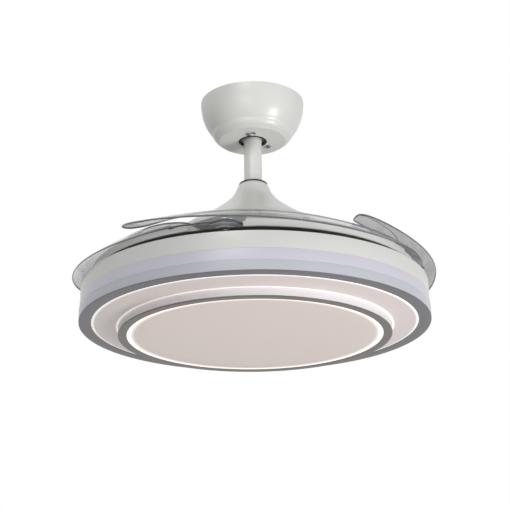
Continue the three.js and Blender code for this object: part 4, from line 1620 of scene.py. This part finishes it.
@dataclass(frozen=True)
class Studio:
    """White surroundings, a pale floor, soft lamps and the camera."""

    ambient: float = 0.24
    floor_height: float = -2.7  # metres
    floor_size: float = 40.0
    floor_white: float = 0.7  # the share of the floor's look that is plain white to the eye
    aim: tuple[float, float, float] = (0.0, 0.0, -0.2)  # where the lamps point
    camera_place: tuple[float, float, float] = (0.0, -1.793, -0.881)
    camera_pitch: float = 19.57  # degrees above the horizon
    camera_yaw: float = -0.04
    camera_roll: float = -0.75
    lens: float = 91.8
    sensor: float = 36.0
    boxes: tuple[SoftBox, ...] = (
        SoftBox("key", (1.895, -1.184, -1.49), 1.0, 36.0),
        SoftBox("front", (-0.54, -2.007, 1.098), 1.2, 15.0),
        SoftBox("low_front", (-0.62, -2.31, -0.7), 1.2, 10.0),
        SoftBox("below", (0.3, -0.6, -2.2), 1.6, 7.0),
    )

    def seen(self, tree: bpy.types.NodeTree) -> bpy.types.NodeSocket:
        """Gives 1 where the eye, a reflection or a clear piece sees the surroundings.

        Args:
            tree: The shader tree.

        Returns:
            The socket that gives 1 there and 0 elsewhere.
        """
        path = add_node(tree, "ShaderNodeLightPath").outputs
        terms = {0: path["Is Camera Ray"], 1: path["Is Glossy Ray"]}
        direct = add_node(tree, "ShaderNodeMath", terms, operation="MAXIMUM").outputs[0]
        terms = {0: direct, 1: path["Is Transmission Ray"]}
        return add_node(tree, "ShaderNodeMath", terms, operation="MAXIMUM").outputs[0]

    def surround(self) -> None:
        """Makes the world white where it is seen, and a soft grey light elsewhere."""
        world = bpy.data.worlds.new("white_surround")
        world.use_nodes = True
        tree = world.node_tree
        tree.nodes.clear()
        reach = {0: self.seen(tree), "To Min": self.ambient, "To Max": 1.0}
        strength = add_node(tree, "ShaderNodeMapRange", reach).outputs[0]
        light = add_node(tree, "ShaderNodeBackground", {"Color": WHITE, "Strength": strength})
        add_node(tree, "ShaderNodeOutputWorld", {"Surface": light.outputs[0]})
        bpy.context.scene.world = world

    def floor(self) -> None:
        """Lays the pale floor, which keeps the fan's shadow and is clear from below."""
        material = blank_material("pale_floor")
        tree = material.node_tree
        matt = add_node(tree, "ShaderNodeBsdfDiffuse", {"Color": linear("#F2F2F0")})
        white = add_node(tree, "ShaderNodeEmission", {"Color": WHITE, "Strength": 1.0})
        terms = {0: self.seen(tree), 1: self.floor_white}
        share = add_node(tree, "ShaderNodeMath", terms, operation="MULTIPLY").outputs[0]
        looks = {0: share, 1: matt.outputs[0], 2: white.outputs[0]}
        both = add_node(tree, "ShaderNodeMixShader", looks)
        under = add_node(tree, "ShaderNodeNewGeometry").outputs["Backfacing"]
        clear = add_node(tree, "ShaderNodeBsdfTransparent")
        shown = add_node(tree, "ShaderNodeMixShader", {0: under, 1: both.outputs[0], 2: clear.outputs[0]})
        add_node(tree, "ShaderNodeOutputMaterial", {"Surface": shown.outputs[0]})
        half = self.floor_size / 2
        mesh = bpy.data.meshes.new("floor")
        corners = [(-half, -half), (half, -half), (half, half), (-half, half)]
        mesh.from_pydata([(x, y, self.floor_height) for x, y in corners], [], [(0, 1, 2, 3)])
        mesh.materials.append(material)
        made = bpy.data.objects.new("floor", mesh)
        bpy.context.scene.collection.objects.link(made)

    def camera(self) -> None:
        """Sets the camera where the photograph was taken from."""
        data = bpy.data.cameras.new("camera")
        data.lens = self.lens
        data.sensor_width = self.sensor
        made = bpy.data.objects.new("camera", data)
        bpy.context.scene.collection.objects.link(made)
        angles = (90 + self.camera_pitch, self.camera_yaw, self.camera_roll)
        pitch, yaw, roll = (math.radians(angle) for angle in angles)
        turn = Euler((pitch, 0, yaw)).to_matrix().to_4x4() @ Matrix.Rotation(roll, 4, "Z")
        made.location = self.camera_place
        made.rotation_euler = turn.to_euler()
        bpy.context.scene.camera = made

    def build(self) -> None:
        """Builds the studio."""
        self.surround()
        self.floor()
        self.camera()
        for lamp in self.boxes:
            lamp.hang(Vector(self.aim))
        bpy.context.scene.view_settings.view_transform = "Standard"


def main() -> None:
    """Loads the frame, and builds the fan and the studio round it."""
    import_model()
    finishes = Finishes()
    CeilingMount(finishes).build()
    Suspension(finishes).build()
    Motor(finishes).build()
    Lamp(finishes).build()
    carrier = Carrier(finishes)
    carrier.build()
    for number, azimuth in enumerate(carrier.azimuths(), 1):
        BladeArm(finishes, number, azimuth).build()
    Studio().build()


if __name__ == "__main__":
    logging.basicConfig(level=logging.INFO, format="%(message)s")
    main()
